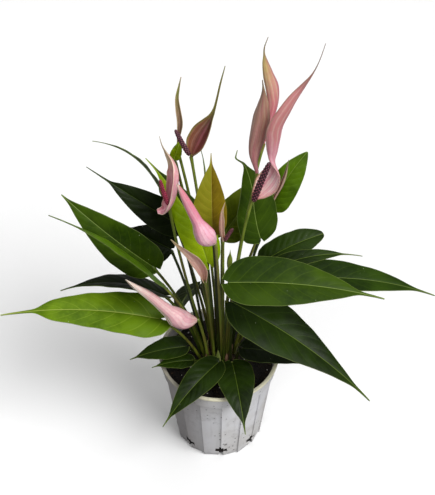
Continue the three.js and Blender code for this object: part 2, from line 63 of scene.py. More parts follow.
def smooth_values(stations: Values, values: Values, t: np.ndarray) -> np.ndarray:
    """Read a smooth curve through given values that never swings past them.

    Args:
        stations: Rising places of the values.
        values: The values there.
        t: Where the curve is read.

    Returns:
        The curve's values at t.
    """
    x = np.asarray(stations, float)
    y = np.asarray(values, float)
    gaps = np.diff(x)
    steep = np.diff(y) / gaps
    slope = np.zeros(len(x))
    for k in range(1, len(x) - 1):
        if steep[k - 1] * steep[k] > 0:
            slope[k] = 2 * steep[k - 1] * steep[k] / (steep[k - 1] + steep[k])
    slope[0] = steep[0]
    slope[-1] = steep[-1]
    k = np.clip(np.searchsorted(x, t, side="right") - 1, 0, len(x) - 2)
    u = np.clip((t - x[k]) / gaps[k], 0, 1)
    w = gaps[k]
    return (y[k] * (1 + 2 * u) * (1 - u) ** 2 + slope[k] * w * u * (1 - u) ** 2
            + y[k + 1] * u**2 * (3 - 2 * u) + slope[k + 1] * w * u**2 * (u - 1))


def spline(points: list[Point], count: int = 400) -> np.ndarray:
    """Sample a Catmull-Rom curve through points, evenly along its length.

    Args:
        points: Points the curve runs through.
        count: Number of samples.

    Returns:
        The samples, one row each.
    """
    p = np.asarray(points, float)
    p = np.vstack([2 * p[0] - p[1], p, 2 * p[-1] - p[-2]])
    out = []
    for k in range(1, len(p) - 2):
        u = np.linspace(0, 1, 60, endpoint=False)[:, None]
        a, b, c, d = p[k - 1:k + 3]
        out.append(b + 0.5 * u * (c - a + u * (2 * a - 5 * b + 4 * c - d + u * (3 * (b - c) + d - a))))
    fine = np.vstack([*out, p[-2:-1]])
    run = np.concatenate([[0], np.cumsum(np.linalg.norm(np.diff(fine, axis=0), axis=1))])
    at = np.linspace(0, run[-1], count)
    return np.stack([np.interp(at, run, fine[:, i]) for i in range(3)], axis=1)


def at_share(curve: np.ndarray, t: np.ndarray) -> np.ndarray:
    """Return points at shares t of a sampled curve's length."""
    x = np.clip(t, 0, 1) * (len(curve) - 1)
    return np.stack([np.interp(x, np.arange(len(curve)), curve[:, i]) for i in range(3)], axis=1)


def tangents(curve: np.ndarray) -> np.ndarray:
    """Return unit tangents of a sampled curve."""
    d = np.gradient(curve, axis=0)
    return d / np.linalg.norm(d, axis=1)[:, None]


def stem_path(root: tuple[float, float], end: np.ndarray, bend: float, count: int = 40) -> np.ndarray:
    """Sample the path of a petiole or stalk from the crown up to its end.

    Args:
        root: Where it leaves the crown, in millimetres.
        end: Its upper end.
        bend: How soon it leans, 0 late to 1 early.
        count: Number of samples.

    Returns:
        The samples, one row each.
    """
    start = np.array([root[0], root[1], CAD_STEM_Z])
    mid = start + (end - start) * bend
    mid[2] = CAD_STEM_Z + (end[2] - CAD_STEM_Z) * STEM_RISE
    t = np.linspace(0, 1, count)[:, None]
    path = start * (1 - t) ** 2 + 2 * mid * t * (1 - t) + end * t**2
    foot = start * np.array([FOOT_PULL, FOOT_PULL, 1])
    foot[2] = STEM_Z - FOOT_DEPTH
    return np.vstack([foot, (foot + start) / 2, path])


def linear(code: str) -> tuple[float, float, float, float]:
    """Turn a six-digit colour code into linear red, green, blue and alpha."""
    parts = [int(code[i:i + 2], 16) / 255 for i in (1, 3, 5)]
    lin = [c / 12.92 if c <= 0.04045 else ((c + 0.055) / 1.055) ** 2.4 for c in parts]
    return (lin[0], lin[1], lin[2], 1.0)


# ---- Node graphs ----
class Graph:
    """A material under construction, with short calls that add nodes."""

    def __init__(self, name: str) -> None:
        """Start an empty material with its shader and output."""
        self.material = bpy.data.materials.new(name)
        self.material.use_nodes = True
        self.tree = self.material.node_tree
        self.tree.nodes.clear()
        self.out = self.tree.nodes.new("ShaderNodeOutputMaterial")
        self.shader = self.tree.nodes.new("ShaderNodeBsdfPrincipled")
        self.tree.links.new(self.shader.outputs["BSDF"], self.out.inputs["Surface"])
        self.coords = self.tree.nodes.new("ShaderNodeTexCoord")

    def put(self, socket: Socket, value: Reading) -> None:
        """Link a socket into an input, or set the input to a constant."""
        if isinstance(value, bpy.types.NodeSocket):
            self.tree.links.new(value, socket)
        elif isinstance(value, str):
            socket.default_value = linear(value)
        else:
            socket.default_value = value

    def math(self, kind: str, a: Reading, b: Reading = 0.0, c: Reading = 0.0) -> Socket:
        """Add a Math node and return its output."""
        node = self.tree.nodes.new("ShaderNodeMath")
        node.operation = kind
        for socket, value in zip(node.inputs, (a, b, c)):
            self.put(socket, value)
        return node.outputs[0]

    def span(self, value: Reading, low: float, high: float, start: float = 0.0, end: float = 1.0) -> Socket:
        """Map a value smoothly from low..high to start..end."""
        node = self.tree.nodes.new("ShaderNodeMapRange")
        node.interpolation_type = "SMOOTHSTEP"
        for socket, number in zip(node.inputs, (value, low, high, start, end)):
            self.put(socket, number)
        return node.outputs[0]

    def mix(self, share: Reading, a: Reading, b: Reading) -> Socket:
        """Mix two colours and return the result."""
        node = self.tree.nodes.new("ShaderNodeMix")
        node.data_type = "RGBA"
        self.put(node.inputs[0], share)
        self.put(node.inputs[6], a)
        self.put(node.inputs[7], b)
        return node.outputs[2]

    def noise(self, scale: float, detail: float = 3.0, rough: float = 0.5,
              stretch: Point | None = None) -> Socket:
        """Add a noise on the piece's own coordinates and return its value."""
        node = self.tree.nodes.new("ShaderNodeTexNoise")
        node.inputs["Scale"].default_value = scale
        node.inputs["Detail"].default_value = detail
        node.inputs["Roughness"].default_value = rough
        source = self.coords.outputs["Object"]
        if stretch:
            mapping = self.tree.nodes.new("ShaderNodeMapping")
            mapping.inputs["Scale"].default_value = stretch
            self.tree.links.new(source, mapping.inputs["Vector"])
            source = mapping.outputs[0]
        self.tree.links.new(source, node.inputs["Vector"])
        return node.outputs[0]

    def cells(self, scale: float, feature: str = "F1") -> Socket:
        """Add a cell pattern on the piece's own coordinates and return its distance."""
        node = self.tree.nodes.new("ShaderNodeTexVoronoi")
        node.feature = feature
        node.inputs["Scale"].default_value = scale
        self.tree.links.new(self.coords.outputs["Object"], node.inputs["Vector"])
        return node.outputs["Distance"]

    def attribute(self, name: str) -> Socket:
        """Read a number stored on the piece's points."""
        node = self.tree.nodes.new("ShaderNodeAttribute")
        node.attribute_name = name
        return node.outputs["Fac"]

    def ramp(self, value: Reading, stops: tuple[tuple[float, str], ...]) -> Socket:
        """Map a value through colour stops."""
        node = self.tree.nodes.new("ShaderNodeValToRGB")
        elements = node.color_ramp.elements
        while len(elements) < len(stops):
            elements.new(0.5)
        for element, (place, code) in zip(elements, stops):
            element.position = place
            element.color = linear(code)
        self.put(node.inputs[0], value)
        return node.outputs[0]

    def bump(self, height: Reading, strength: float, distance: float) -> Socket:
        """Add a bump of a height and return its normal."""
        node = self.tree.nodes.new("ShaderNodeBump")
        node.inputs["Strength"].default_value = strength
        node.inputs["Distance"].default_value = distance
        self.put(node.inputs["Height"], height)
        return node.outputs[0]

    def finish(self, **sockets) -> bpy.types.Material:
        """Fill the shader's sockets, given with underscores for spaces, and return the material."""
        for name, value in sockets.items():
            self.put(self.shader.inputs[name.replace("_", " ")], value)
        return self.material


# ---- Finishes ----
@dataclass(frozen=True)
class LeafFinish:
    """Glossy leaf skin with a pale midrib, side veins and a pale margin, painted shade towards the base, and
    on some leaves a second tone over one half.
    """

    name: str
    deep: str
    fresh: str
    rib: str = "#7c9440"
    margin: str = "#8a9a50"
    vein: str = "#3a5010"
    rough: float = 0.42
    vein_share: float = 0.27
    margin_share: float = 0.5
    painted_base_shade: float = 0.45
    half: str = ""
    half_from: float = 0.4
    half_first: bool = True

    def make(self) -> bpy.types.Material:
        """Build the material."""
        g = Graph(self.name)
        body = g.mix(g.span(g.noise(28.0, 4.0), 0.3, 0.7), self.deep, self.fresh)
        fine = g.span(g.noise(320.0, 2.0), 0.35, 0.7)
        body = g.mix(g.math("MULTIPLY", fine, 0.22), body, self.fresh)
        parts = g.tree.nodes.new("ShaderNodeSeparateXYZ")
        g.tree.links.new(g.coords.outputs["UV"], parts.inputs[0])
        # Painted shade: each blade darkens towards its base, down among the other leaves.
        body = g.mix(g.span(parts.outputs[1], 0.0, 0.5, self.painted_base_shade, 0.0), body, self.deep)
        # A second tone over one half of the blade: for the bronze leaf a real lime tint on its lobe, for the
        # split leaf painted shade on the half turned from the light.
        if self.half:
            first, last = (0.9, 0.0) if self.half_first else (0.0, 0.9)
            beside = g.span(parts.outputs[0], 0.46, 0.54, first, last)
            along = g.math("ADD", parts.outputs[1], g.math("MULTIPLY", g.noise(60.0), 0.1))
            above = g.span(along, self.half_from, self.half_from + 0.08)
            body = g.mix(g.math("MULTIPLY", beside, above), body, self.half)
        phase = g.math("ADD", g.attribute("phase"), g.math("MULTIPLY", g.noise(90.0, 2.0), 0.12))
        off = g.math("ABSOLUTE", g.math("SUBTRACT", g.math("FRACT", phase), 0.5))
        vein = g.span(off, 0.0, 0.07, 1.0, 0.0)
        edge = g.attribute("edge")
        vein = g.math("MULTIPLY", vein, g.span(edge, 0.8, 5.0))
        body = g.mix(g.math("MULTIPLY", vein, self.vein_share), body, self.vein)
        rib = g.span(g.attribute("rib"), 0.2, 0.6, 1.0, 0.0)
        body = g.mix(g.math("MULTIPLY", rib, 0.7), body, self.rib)
        rim = g.span(edge, 0.1, 0.45, self.margin_share, 0.0)
        body = g.mix(rim, body, self.margin)
        dust = g.math("MULTIPLY", g.span(g.cells(170.0), 0.03, 0.07, 0.7, 0.0),
                      g.span(g.noise(35.0, 2.0), 0.52, 0.62))
        body = g.mix(dust, body, "#c4ccb0")
        net = g.cells(330.0, "DISTANCE_TO_EDGE")
        height = g.math("MULTIPLY_ADD", g.span(net, 0.0, 0.12), 0.5, g.math("MULTIPLY", vein, -1.0))
        normal = g.bump(height, 0.14, 0.0004)
        rough = g.span(g.noise(70.0, 3.0), 0.3, 0.7, self.rough - 0.05, self.rough + 0.1)
        return g.finish(Base_Color=body, Roughness=rough, Normal=normal, Specular_IOR_Level=0.13)


@dataclass(frozen=True)
class UndersideFinish:
    """Paler, duller underside of a leaf with a raised pale midrib."""

    name: str = "leaf_underside"
    deep: str = "#2c3a10"
    fresh: str = "#465818"

    def make(self) -> bpy.types.Material:
        """Build the material."""
        g = Graph(self.name)
        body = g.mix(g.span(g.noise(40.0, 4.0), 0.3, 0.7), self.deep, self.fresh)
        off = g.math("ABSOLUTE", g.math("SUBTRACT", g.math("FRACT", g.attribute("phase")), 0.5))
        vein = g.span(off, 0.0, 0.09, 1.0, 0.0)
        body = g.mix(g.math("MULTIPLY", vein, 0.5), body, "#6f8a44")
        rib = g.span(g.attribute("rib"), 0.5, 1.1, 1.0, 0.0)
        body = g.mix(rib, body, "#93a85c")
        normal = g.bump(g.math("ADD", vein, rib), 0.25, 0.0005)
        return g.finish(Base_Color=body, Roughness=0.52, Normal=normal)


@dataclass(frozen=True)
class RimFinish:
    """Pale cut edge that runs round a leaf."""

    name: str
    pale: str
    warm: str

    def make(self) -> bpy.types.Material:
        """Build the material."""
        g = Graph(self.name)
        body = g.mix(g.span(g.noise(120.0, 3.0), 0.35, 0.65), self.pale, self.warm)
        normal = g.bump(g.noise(700.0, 2.0), 0.1, 0.0002)
        return g.finish(Base_Color=body, Roughness=0.4, Normal=normal)


@dataclass(frozen=True)
class SpatheFinish:
    """Satin spathe skin whose colour runs from base to tip, veined along its length."""

    name: str
    stops: tuple[tuple[float, str], ...]
    stripe: str = "#c85a7c"
    stripe_share: float = 0.2
    stripe_width: float = 0.14
    margin: str = "#d8c8a0"
    margin_share: float = 0.5
    margin_wide: float = 1.4
    vein: str = "#c0607c"
    vein_share: float = 0.22
    pale_share: float = 0.14
    flank: str = "#dc90a0"
    flank_share: float = 0.0
    flank_right: bool = True
    rough: float = 0.38

    def make(self) -> bpy.types.Material:
        """Build the material."""
        g = Graph(self.name)
        parts = g.tree.nodes.new("ShaderNodeSeparateXYZ")
        g.tree.links.new(g.coords.outputs["UV"], parts.inputs[0])
        across = g.math("ABSOLUTE", g.math("MULTIPLY_ADD", parts.outputs[0], 2.0, -1.0))
        wander = g.math("MULTIPLY", g.math("SUBTRACT", g.noise(45.0, 3.0), 0.5), 0.22)
        body = g.ramp(g.math("ADD", parts.outputs[1], wander), self.stops)
        low, high, first, last = (0.42, 0.92, 0.0, self.flank_share) if self.flank_right else (
            0.08, 0.58, self.flank_share, 0.0)
        flank = g.span(g.math("ADD", parts.outputs[0], wander), low, high, first, last)
        fading = g.span(parts.outputs[1], 0.7, 0.86, 1.0, 0.0)
        body = g.mix(g.math("MULTIPLY", flank, fading), body, self.flank)
        lines = g.math("SINE", g.math("MULTIPLY_ADD", parts.outputs[0], 88.0,
                                      g.math("MULTIPLY", g.noise(60.0, 2.0), 5.0)))
        vein = g.span(lines, 0.2, 1.0)
        body = g.mix(g.math("MULTIPLY", vein, self.vein_share), body, self.vein)
        broad = g.math("SINE", g.math("MULTIPLY_ADD", parts.outputs[0], 29.0,
                                      g.math("MULTIPLY", g.noise(35.0, 2.0), 9.0)))
        body = g.mix(g.span(broad, 0.0, 1.0, 0.0, 0.7 * self.vein_share), body, self.vein)
        body = g.mix(g.span(broad, -1.0, -0.2, self.pale_share, 0.0), body, "#fff0e8")
        fine = g.span(g.noise(420.0, 3.0), 0.35, 0.7)
        body = g.mix(g.math("MULTIPLY", fine, 0.2), body, self.vein)
        stripe = g.span(g.math("ADD", across, wander), 0.0, self.stripe_width, self.stripe_share, 0.0)
        body = g.mix(stripe, body, self.stripe)
        rim = g.span(g.attribute("edge"), 0.2, self.margin_wide, self.margin_share, 0.0)
        body = g.mix(rim, body, self.margin)
        height = g.math("ADD", g.math("MULTIPLY", broad, 0.8),
                        g.math("MULTIPLY_ADD", g.noise(500.0, 2.0), 0.6, vein))
        normal = g.bump(height, 0.3, 0.0005)
        return g.finish(Base_Color=body, Roughness=self.rough, Normal=normal,
                        Subsurface_Weight=0.12, Subsurface_Radius=(0.004, 0.002, 0.0015),
                        Subsurface_Scale=0.6)


@dataclass(frozen=True)
class StemFinish:
    """Fresh stem skin: streaked green with a reddish or brown blush."""

    name: str
    deep: str
    fresh: str
    blush: str
    blush_share: float = 0.3

    def make(self) -> bpy.types.Material:
        """Build the material."""
        g = Graph(self.name)
        streak = g.noise(260.0, 3.0, 0.6, (1.0, 1.0, 0.06))
        body = g.mix(g.span(streak, 0.35, 0.65), self.deep, self.fresh)
        patch = g.span(g.noise(22.0, 2.0), 0.45, 0.7, 0.0, self.blush_share)
        body = g.mix(patch, body, self.blush)
        speck = g.span(g.cells(900.0), 0.0, 0.22, 0.35, 0.0)
        body = g.mix(speck, body, "#b8b888")
        normal = g.bump(streak, 0.2, 0.0004)
        return g.finish(Base_Color=body, Roughness=0.36, Normal=normal)


@dataclass(frozen=True)
class SpadixFinish:
    """Beaded spadix skin: painted shade darkens it between its florets and a painted highlight lightens it
    on them.
    """

    name: str
    deep: str
    floret_and_highlight: str

    def make(self) -> bpy.types.Material:
        """Build the material."""
        g = Graph(self.name)
        bead = g.attribute("bead")
        # Painted shade in the gaps between florets (deep) and painted highlight on the florets, over the
        # spadix's own dark maroon.
        body = g.mix(g.span(bead, 0.3, 0.9), self.deep, self.floret_and_highlight)
        body = g.mix(g.span(g.noise(300.0, 2.0), 0.4, 0.7, 0.0, 0.4), body, self.deep)
        normal = g.bump(g.noise(1400.0, 2.0), 0.2, 0.0002)
        return g.finish(Base_Color=body, Roughness=0.5, Normal=normal)


@dataclass(frozen=True)
class PotFinish:
    """Moulded white plastic with soil specks, scuffs, a faint cream cast at the lip and painted shade down
    its left side.
    """

    name: str = "pot_plastic"
    white: str = "#ececf0"
    cast: str = "#d8d6d4"

    def make(self) -> bpy.types.Material:
        """Build the material."""
        g = Graph(self.name)
        body = g.mix(g.span(g.noise(18.0, 4.0), 0.35, 0.7), self.white, self.cast)
        parts = g.tree.nodes.new("ShaderNodeSeparateXYZ")
        g.tree.links.new(g.coords.outputs["Object"], parts.inputs[0])
        high = g.span(parts.outputs[2], 0.1142, 0.1156, 0.0, 0.7)
        body = g.mix(high, body, "#e8e2b8")
        smear = g.math("MULTIPLY", g.span(g.noise(55.0, 5.0, 0.7), 0.52, 0.68), 0.24)
        body = g.mix(smear, body, "#85817e")
        where = g.span(g.noise(22.0, 2.0), 0.42, 0.58)
        speck = g.math("MULTIPLY", g.span(g.cells(170.0), 0.08, 0.2, 1.0, 0.0), where)
        body = g.mix(g.math("MULTIPLY", speck, 0.85), body, "#3c3834")
        clots = g.math("MULTIPLY", g.span(g.cells(75.0), 0.1, 0.16, 1.0, 0.0),
                       g.span(g.noise(14.0, 1.0), 0.5, 0.6))
        body = g.mix(g.math("MULTIPLY", clots, 0.75), body, "#4c4844")
        streak = g.span(g.noise(150.0, 3.0, 0.6, (1.0, 1.0, 0.12)), 0.55, 0.72, 0.0, 0.16)
        body = g.mix(streak, body, "#9a9694")
        # Painted shade: the pot is darkened towards -x, its left side, standing in for the shade that falls
        # there.
        painted_left_shade = g.span(g.math("ADD", parts.outputs[0], g.math("MULTIPLY", g.noise(30.0, 3.0), 0.02)),
                         -0.03, 0.012, 0.68, 0.0)
        body = g.mix(painted_left_shade, body, "#7c7472")
        flat = g.math("POWER", parts.outputs[0], 2.0), g.math("POWER", parts.outputs[1], 2.0)
        radius = g.math("SQRT", g.math("ADD", *flat))
        depth = g.math("SUBTRACT", g.math("MULTIPLY_ADD", parts.outputs[2], 0.096, 0.0434), radius)
        earthy = g.math("MULTIPLY", g.span(depth, 0.0, 0.0006),
                        g.span(parts.outputs[2], 0.09, 0.1, 0.92, 0.0))
        body = g.mix(earthy, body, "#14100c")
        foot = g.math("MULTIPLY", g.span(parts.outputs[2], 0.0, 0.02, 1.0, 0.0),
                      g.span(g.noise(120.0, 4.0, 0.7), 0.45, 0.65))
        body = g.mix(g.math("MULTIPLY", foot, 0.3), body, "#6a625a")
        grain = g.math("ADD", g.noise(600.0, 2.0), g.math("MULTIPLY", g.noise(90.0, 3.0), 0.8))
        normal = g.bump(grain, 0.12, 0.0004)
        rough = g.span(g.noise(40.0, 3.0), 0.3, 0.7, 0.38, 0.52)
        return g.finish(Base_Color=body, Roughness=rough, Normal=normal)


@dataclass(frozen=True)
class EarthFinish:
    """Damp peat or the bits in it, mottled between two tones."""

    name: str
    dark: str
    light: str
    rough: float = 0.92
    scale: float = 160.0

    def make(self) -> bpy.types.Material:
        """Build the material."""
        g = Graph(self.name)
        mottle = g.span(g.noise(self.scale, 5.0, 0.7), 0.35, 0.75)
        body = g.mix(mottle, self.dark, self.light)
        damp = g.span(g.noise(self.scale / 4, 3.0), 0.35, 0.65, self.rough - 0.25, self.rough)
        normal = g.bump(g.noise(self.scale * 4, 4.0, 0.7), 0.6, 0.0008)
        return g.finish(Base_Color=body, Roughness=damp, Normal=normal)


@dataclass(frozen=True)
class FloorFinish:
    """Plain pale studio floor."""

    name: str = "studio_floor"
    pale: str = "#fbfbfb"
    bounce: str = "#8c8c8c"

    def make(self) -> bpy.types.Material:
        """Build the material: pale to look at, and a quieter grey in the light it throws back."""
        g = Graph(self.name)
        body = g.mix(g.span(g.noise(6.0, 2.0), 0.3, 0.7, 0.0, 0.2), self.pale, "#f6f6f6")
        seen = g.tree.nodes.new("ShaderNodeLightPath").outputs["Is Camera Ray"]
        return g.finish(Base_Color=g.mix(seen, self.bounce, body), Roughness=0.9)


# ---- Making meshes ----
class Workshop:
    """Mesh making shared by all the pieces. Places are given in millimetres."""

    @staticmethod
    def take(piece: bpy.types.Object) -> None:
        """Select one piece alone and make it active."""
        bpy.ops.object.select_all(action="DESELECT")
        piece.select_set(True)
        bpy.context.view_layer.objects.active = piece

    @staticmethod
    def skin(name: str, rows: np.ndarray, marks: dict[str, np.ndarray] | None = None) -> bpy.types.Object:
        """Shape a grid primitive into a surface.

        Args:
            name: Name of the piece.
            rows: Points of the surface, by row, column and axis, in millimetres.
            marks: Numbers stored on the points, each by row and column.

        Returns:
            The surface as a new object at the origin.
        """
        count, across = rows.shape[:2]
        bpy.ops.object.select_all(action="DESELECT")
        bpy.ops.mesh.primitive_grid_add(x_subdivisions=across - 1, y_subdivisions=count - 1, size=2)
        piece = bpy.context.active_object
        piece.name = name
        piece.data.name = name
        mesh = piece.data
        flat = np.empty(len(mesh.vertices) * 3)
        mesh.vertices.foreach_get("co", flat)
        flat = flat.reshape(-1, 3)
        i = np.rint((flat[:, 1] + 1) / 2 * (count - 1)).astype(int)
        j = np.rint((flat[:, 0] + 1) / 2 * (across - 1)).astype(int)
        mesh.vertices.foreach_set("co", (rows[i, j] * MM).ravel())
        for key, grid in (marks or {}).items():
            layer = mesh.attributes.new(key, "FLOAT", "POINT")
            layer.data.foreach_set("value", grid[i, j].astype(np.float32))
        mesh.update()
        return piece

    @staticmethod
    def weld(piece: bpy.types.Object, reach: float = 1e-6) -> bpy.types.Object:
        """Merge doubled points and turn all faces outwards."""
        Workshop.take(piece)
        bpy.ops.object.mode_set(mode="EDIT")
        bpy.ops.mesh.select_all(action="SELECT")
        bpy.ops.mesh.remove_doubles(threshold=reach)
        bpy.ops.mesh.normals_make_consistent(inside=False)
        bpy.ops.object.mode_set(mode="OBJECT")
        return piece

    @staticmethod
    def dress(piece: bpy.types.Object, finish: bpy.types.Material, degrees: float) -> None:
        """Give the active piece its finish, and round the shading of edges flatter than an angle."""
        piece.data.materials.append(finish)
        bpy.ops.object.shade_smooth_by_angle(angle=math.radians(degrees))

    @staticmethod
    def thicken(piece: bpy.types.Object, thick: float,
                finishes: list[bpy.types.Material]) -> bpy.types.Object:
        """Give a sheet its thickness, with its own finish on each side and on the rim.

        Args:
            piece: The sheet.
            thick: Thickness in millimetres.
            finishes: Finish of the first side, of the second side and of the rim.

        Returns:
            The same piece.
        """
        for finish in finishes:
            piece.data.materials.append(finish)
        Workshop.take(piece)
        wall = piece.modifiers.new("wall", "SOLIDIFY")
        wall.thickness = thick * MM
        wall.offset = 0
        wall.material_offset = 1
        wall.material_offset_rim = 2
        bpy.ops.object.modifier_apply(modifier=wall.name)
        bpy.ops.object.shade_smooth_by_angle(angle=math.radians(60))
        return piece

    @staticmethod
    def hose(path: np.ndarray, radii: np.ndarray, sides: int) -> np.ndarray:
        """Lay round rings along a path, closed at both ends.

        Args:
            path: Points of the path.
            radii: Radius at each point.
            sides: Number of sides.

        Returns:
            Rows of ring points; the first and last rows are the end points.
        """
        way = tangents(path)
        first = np.cross(way[0], np.array([0.3, 0.9, 0.1]))
        rows = [np.repeat(path[:1], sides + 1, axis=0)]
        angle = np.linspace(0, 2 * math.pi, sides + 1)
        axis = unit(first)
        for point, heading, radius in zip(path, way, radii):
            axis = unit(axis - heading * axis.dot(heading))
            other = np.cross(heading, axis)
            ring = point + radius * (np.outer(np.cos(angle), axis) + np.outer(np.sin(angle), other))
            ring[-1] = ring[0]
            rows.append(ring)
        rows.append(np.repeat(path[-1:], sides + 1, axis=0))
        return np.array(rows)

    @staticmethod
    def stem(name: str, path: np.ndarray, radii: np.ndarray, finish: bpy.types.Material,
             sides: int = 14) -> bpy.types.Object:
        """Make a round stem along a path.

        Args:
            name: Name of the piece.
            path: Points of the path.
            radii: Radius at each point.
            finish: Its material.
            sides: Number of sides.

        Returns:
            The stem.
        """
        piece = Workshop.weld(Workshop.skin(name, Workshop.hose(path, radii, sides)))
        Workshop.dress(piece, finish, 50)
        return piece

    @staticmethod
    def many(name: str, shapes: list[tuple[np.ndarray, list]],
             finish: bpy.types.Material) -> bpy.types.Object:
        """Gather small closed shapes into one piece.

        Args:
            name: Name of the piece.
            shapes: Points in millimetres and faces of each shape.
            finish: Its material.

        Returns:
            The piece.
        """
        points, faces, start = [], [], 0
        for shape_points, shape_faces in shapes:
            points.append(shape_points * MM)
            faces += [[k + start for k in f] for f in shape_faces]
            start += len(shape_points)
        mesh = bpy.data.meshes.new(name)
        mesh.from_pydata(np.vstack(points).tolist(), [], faces)
        mesh.materials.append(finish)
        piece = bpy.data.objects.new(name, mesh)
        bpy.context.scene.collection.objects.link(piece)
        return piece

    @staticmethod
    def pebble() -> tuple[np.ndarray, list]:
        """Model one small round pebble and return its points and faces."""
        bpy.ops.object.select_all(action="DESELECT")
        bpy.ops.mesh.primitive_ico_sphere_add(subdivisions=1, radius=1)
        ball = bpy.context.active_object
        points = np.array([v.co[:] for v in ball.data.vertices])
        faces = [list(f.vertices) for f in ball.data.polygons]
        bpy.data.objects.remove(ball, do_unlink=True)
        return points, faces


def settle(piece: bpy.types.Object, slot: str, *nodes: str) -> bpy.types.Object:
    """Let a piece ride on the plant, and hide the nodes it stands for."""
    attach(piece, "root")
    if nodes:
        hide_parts(*nodes)
    return piece


# ---- Pot ----
@dataclass
class Pot:
    """Tapered nursery pot: flat panels that step like a saw tooth, collar band, rolled lip."""

    height: float = 117.0
    rim: float = 60.0
    base: float = 45.5
    wall: float = 1.6
    floor: float = 2.5
    collar: float = 17.0
    collar_proud: float = 1.4
    lip_out: float = 1.1
    lip_high: float = 2.4
    panels: int = 16
    step: float = 1.5
    turn: float = 3.0
    chord: int = 8
    slots: int = 8
    slot_wide: float = 12.0
    slot_high: float = 7.0
    slot_z: float = 9.5
    notch_wide: float = 4.5
    notch_top: float = 16.0

    def slope(self) -> float:
        """Return how much the wall's radius grows per millimetre of height."""
        return (self.rim - self.lip_out - self.collar_proud - self.base) / self.height

    def corner_ring(self, radius: float, z: float) -> np.ndarray:
        """Return one ring of the panelled wall at a height.

        Args:
            radius: Radius at the proud edges.
            z: Height.

        Returns:
            The ring's points, the last one equal to the first.
        """
        ring = []
        sweep = 2 * math.pi / self.panels
        low = radius - self.step
        for k in range(self.panels):
            a = math.radians(self.turn - 90) + k * sweep
            start = radius * np.array([math.cos(a), math.sin(a)])
            end = low * np.array([math.cos(a + sweep), math.sin(a + sweep)])
            for u in np.linspace(0, 1, self.chord):
                ring.append([*(start + (end - start) * u), z])
        ring.append(ring[0])
        return np.array(ring)

    def round_ring(self, radius: float, z: float) -> np.ndarray:
        """Return one round ring with a point for each point of the panelled wall."""
        ring = self.corner_ring(100.0, z)
        flat = ring[:, :2] / np.linalg.norm(ring[:, :2], axis=1)[:, None] * radius
        return np.column_stack([flat, ring[:, 2]])

    def rings(self) -> np.ndarray:
        """Return the rings of the whole shell, from under the foot, over the lip, to the floor."""
        slope = self.slope()
        low = self.height - self.collar
        foot = [(1e-4, 0.8), (self.base - 9, 0.8), (self.base - 8, 0.0)]
        rows = [self.round_ring(r, z) for r, z in foot]
        rows.append(self.corner_ring(self.base - 0.8, 0.0))
        rows.append(self.corner_ring(self.base - 0.25, 0.25))
        for z in np.linspace(0.8, low - 1.2, 24):
            rows.append(self.corner_ring(self.base + slope * z, z))
        rows.append(self.corner_ring(self.base + slope * low - 0.15, low - 0.3))
        collar_low = self.base + slope * low + self.collar_proud
        neck = self.rim - self.lip_out
        lip = self.height - self.lip_high
        edge = 0.8
        outer = [
            (collar_low - 0.25, low - 0.1), (collar_low, low + 0.25), (collar_low + 0.2, low + 2),
            (neck - 0.3, lip - 3), (neck, lip - 0.8), (neck + 0.3, lip - 0.2), (self.rim - 0.5, lip + 0.05),
            (self.rim, lip + 0.5), (self.rim, self.height - edge), (self.rim - 0.25, self.height - 0.25),
            (self.rim - edge, self.height), (neck - 0.4, self.height),
            (neck - self.collar_proud - 0.7, self.height - 0.25), (neck - self.collar_proud - 1.2,
                                                                   self.height - 0.9),
        ]
        rows += [self.round_ring(r, z) for r, z in outer]
        mouth = neck - self.collar_proud - self.wall
        inside = self.base - self.wall - self.step
        for z in np.linspace(self.height - 3, self.floor + 1, 8):
            share = (z - self.floor) / (self.height - self.floor)
            rows.append(self.round_ring(inside + (mouth - inside) * share, z))
        rows += [self.round_ring(inside - 1, self.floor), self.round_ring(1e-4, self.floor)]
        return np.array(rows)

    def cut(self, piece: bpy.types.Object, size: Point, z: float, turn: float) -> None:
        """Cut one box out of the foot.

        Args:
            piece: The pot.
            size: Size of the box, in millimetres.
            z: Height of its middle.
            turn: Angle from the front, in radians.
        """
        a = turn - math.pi / 2
        place = (math.cos(a) * self.base * MM, math.sin(a) * self.base * MM, z * MM)
        bpy.ops.object.select_all(action="DESELECT")
        bpy.ops.mesh.primitive_cube_add(size=1, location=place, rotation=(0, 0, turn),
                                        scale=[s * MM for s in size])
        cutter = bpy.context.active_object
        Workshop.take(piece)
        hole = piece.modifiers.new("slot", "BOOLEAN")
        hole.operation = "DIFFERENCE"
        hole.object = cutter
        hole.solver = "MANIFOLD"
        bpy.ops.object.modifier_apply(modifier=hole.name)
        bpy.data.objects.remove(cutter, do_unlink=True)

    def build(self) -> bpy.types.Object:
        """Build and dress the pot."""
        piece = Workshop.weld(Workshop.skin("pot_shell", self.rings()), 2e-6)
        for k in range(self.slots):
            turn = math.radians(self.turn) + 2 * math.pi * k / self.slots
            self.cut(piece, (self.slot_wide, 14, self.slot_high), self.slot_z, turn)
            self.cut(piece, (self.notch_wide, 14, 2 * self.notch_top), 0, turn)
        piece.data.materials.clear()
        piece.data.materials.append(PotFinish().make())
        piece.data.polygons.foreach_set("material_index", [0] * len(piece.data.polygons))
        Workshop.take(piece)
        bpy.ops.object.shade_smooth_by_angle(angle=math.radians(25))
        return settle(piece, "pot", "pot")


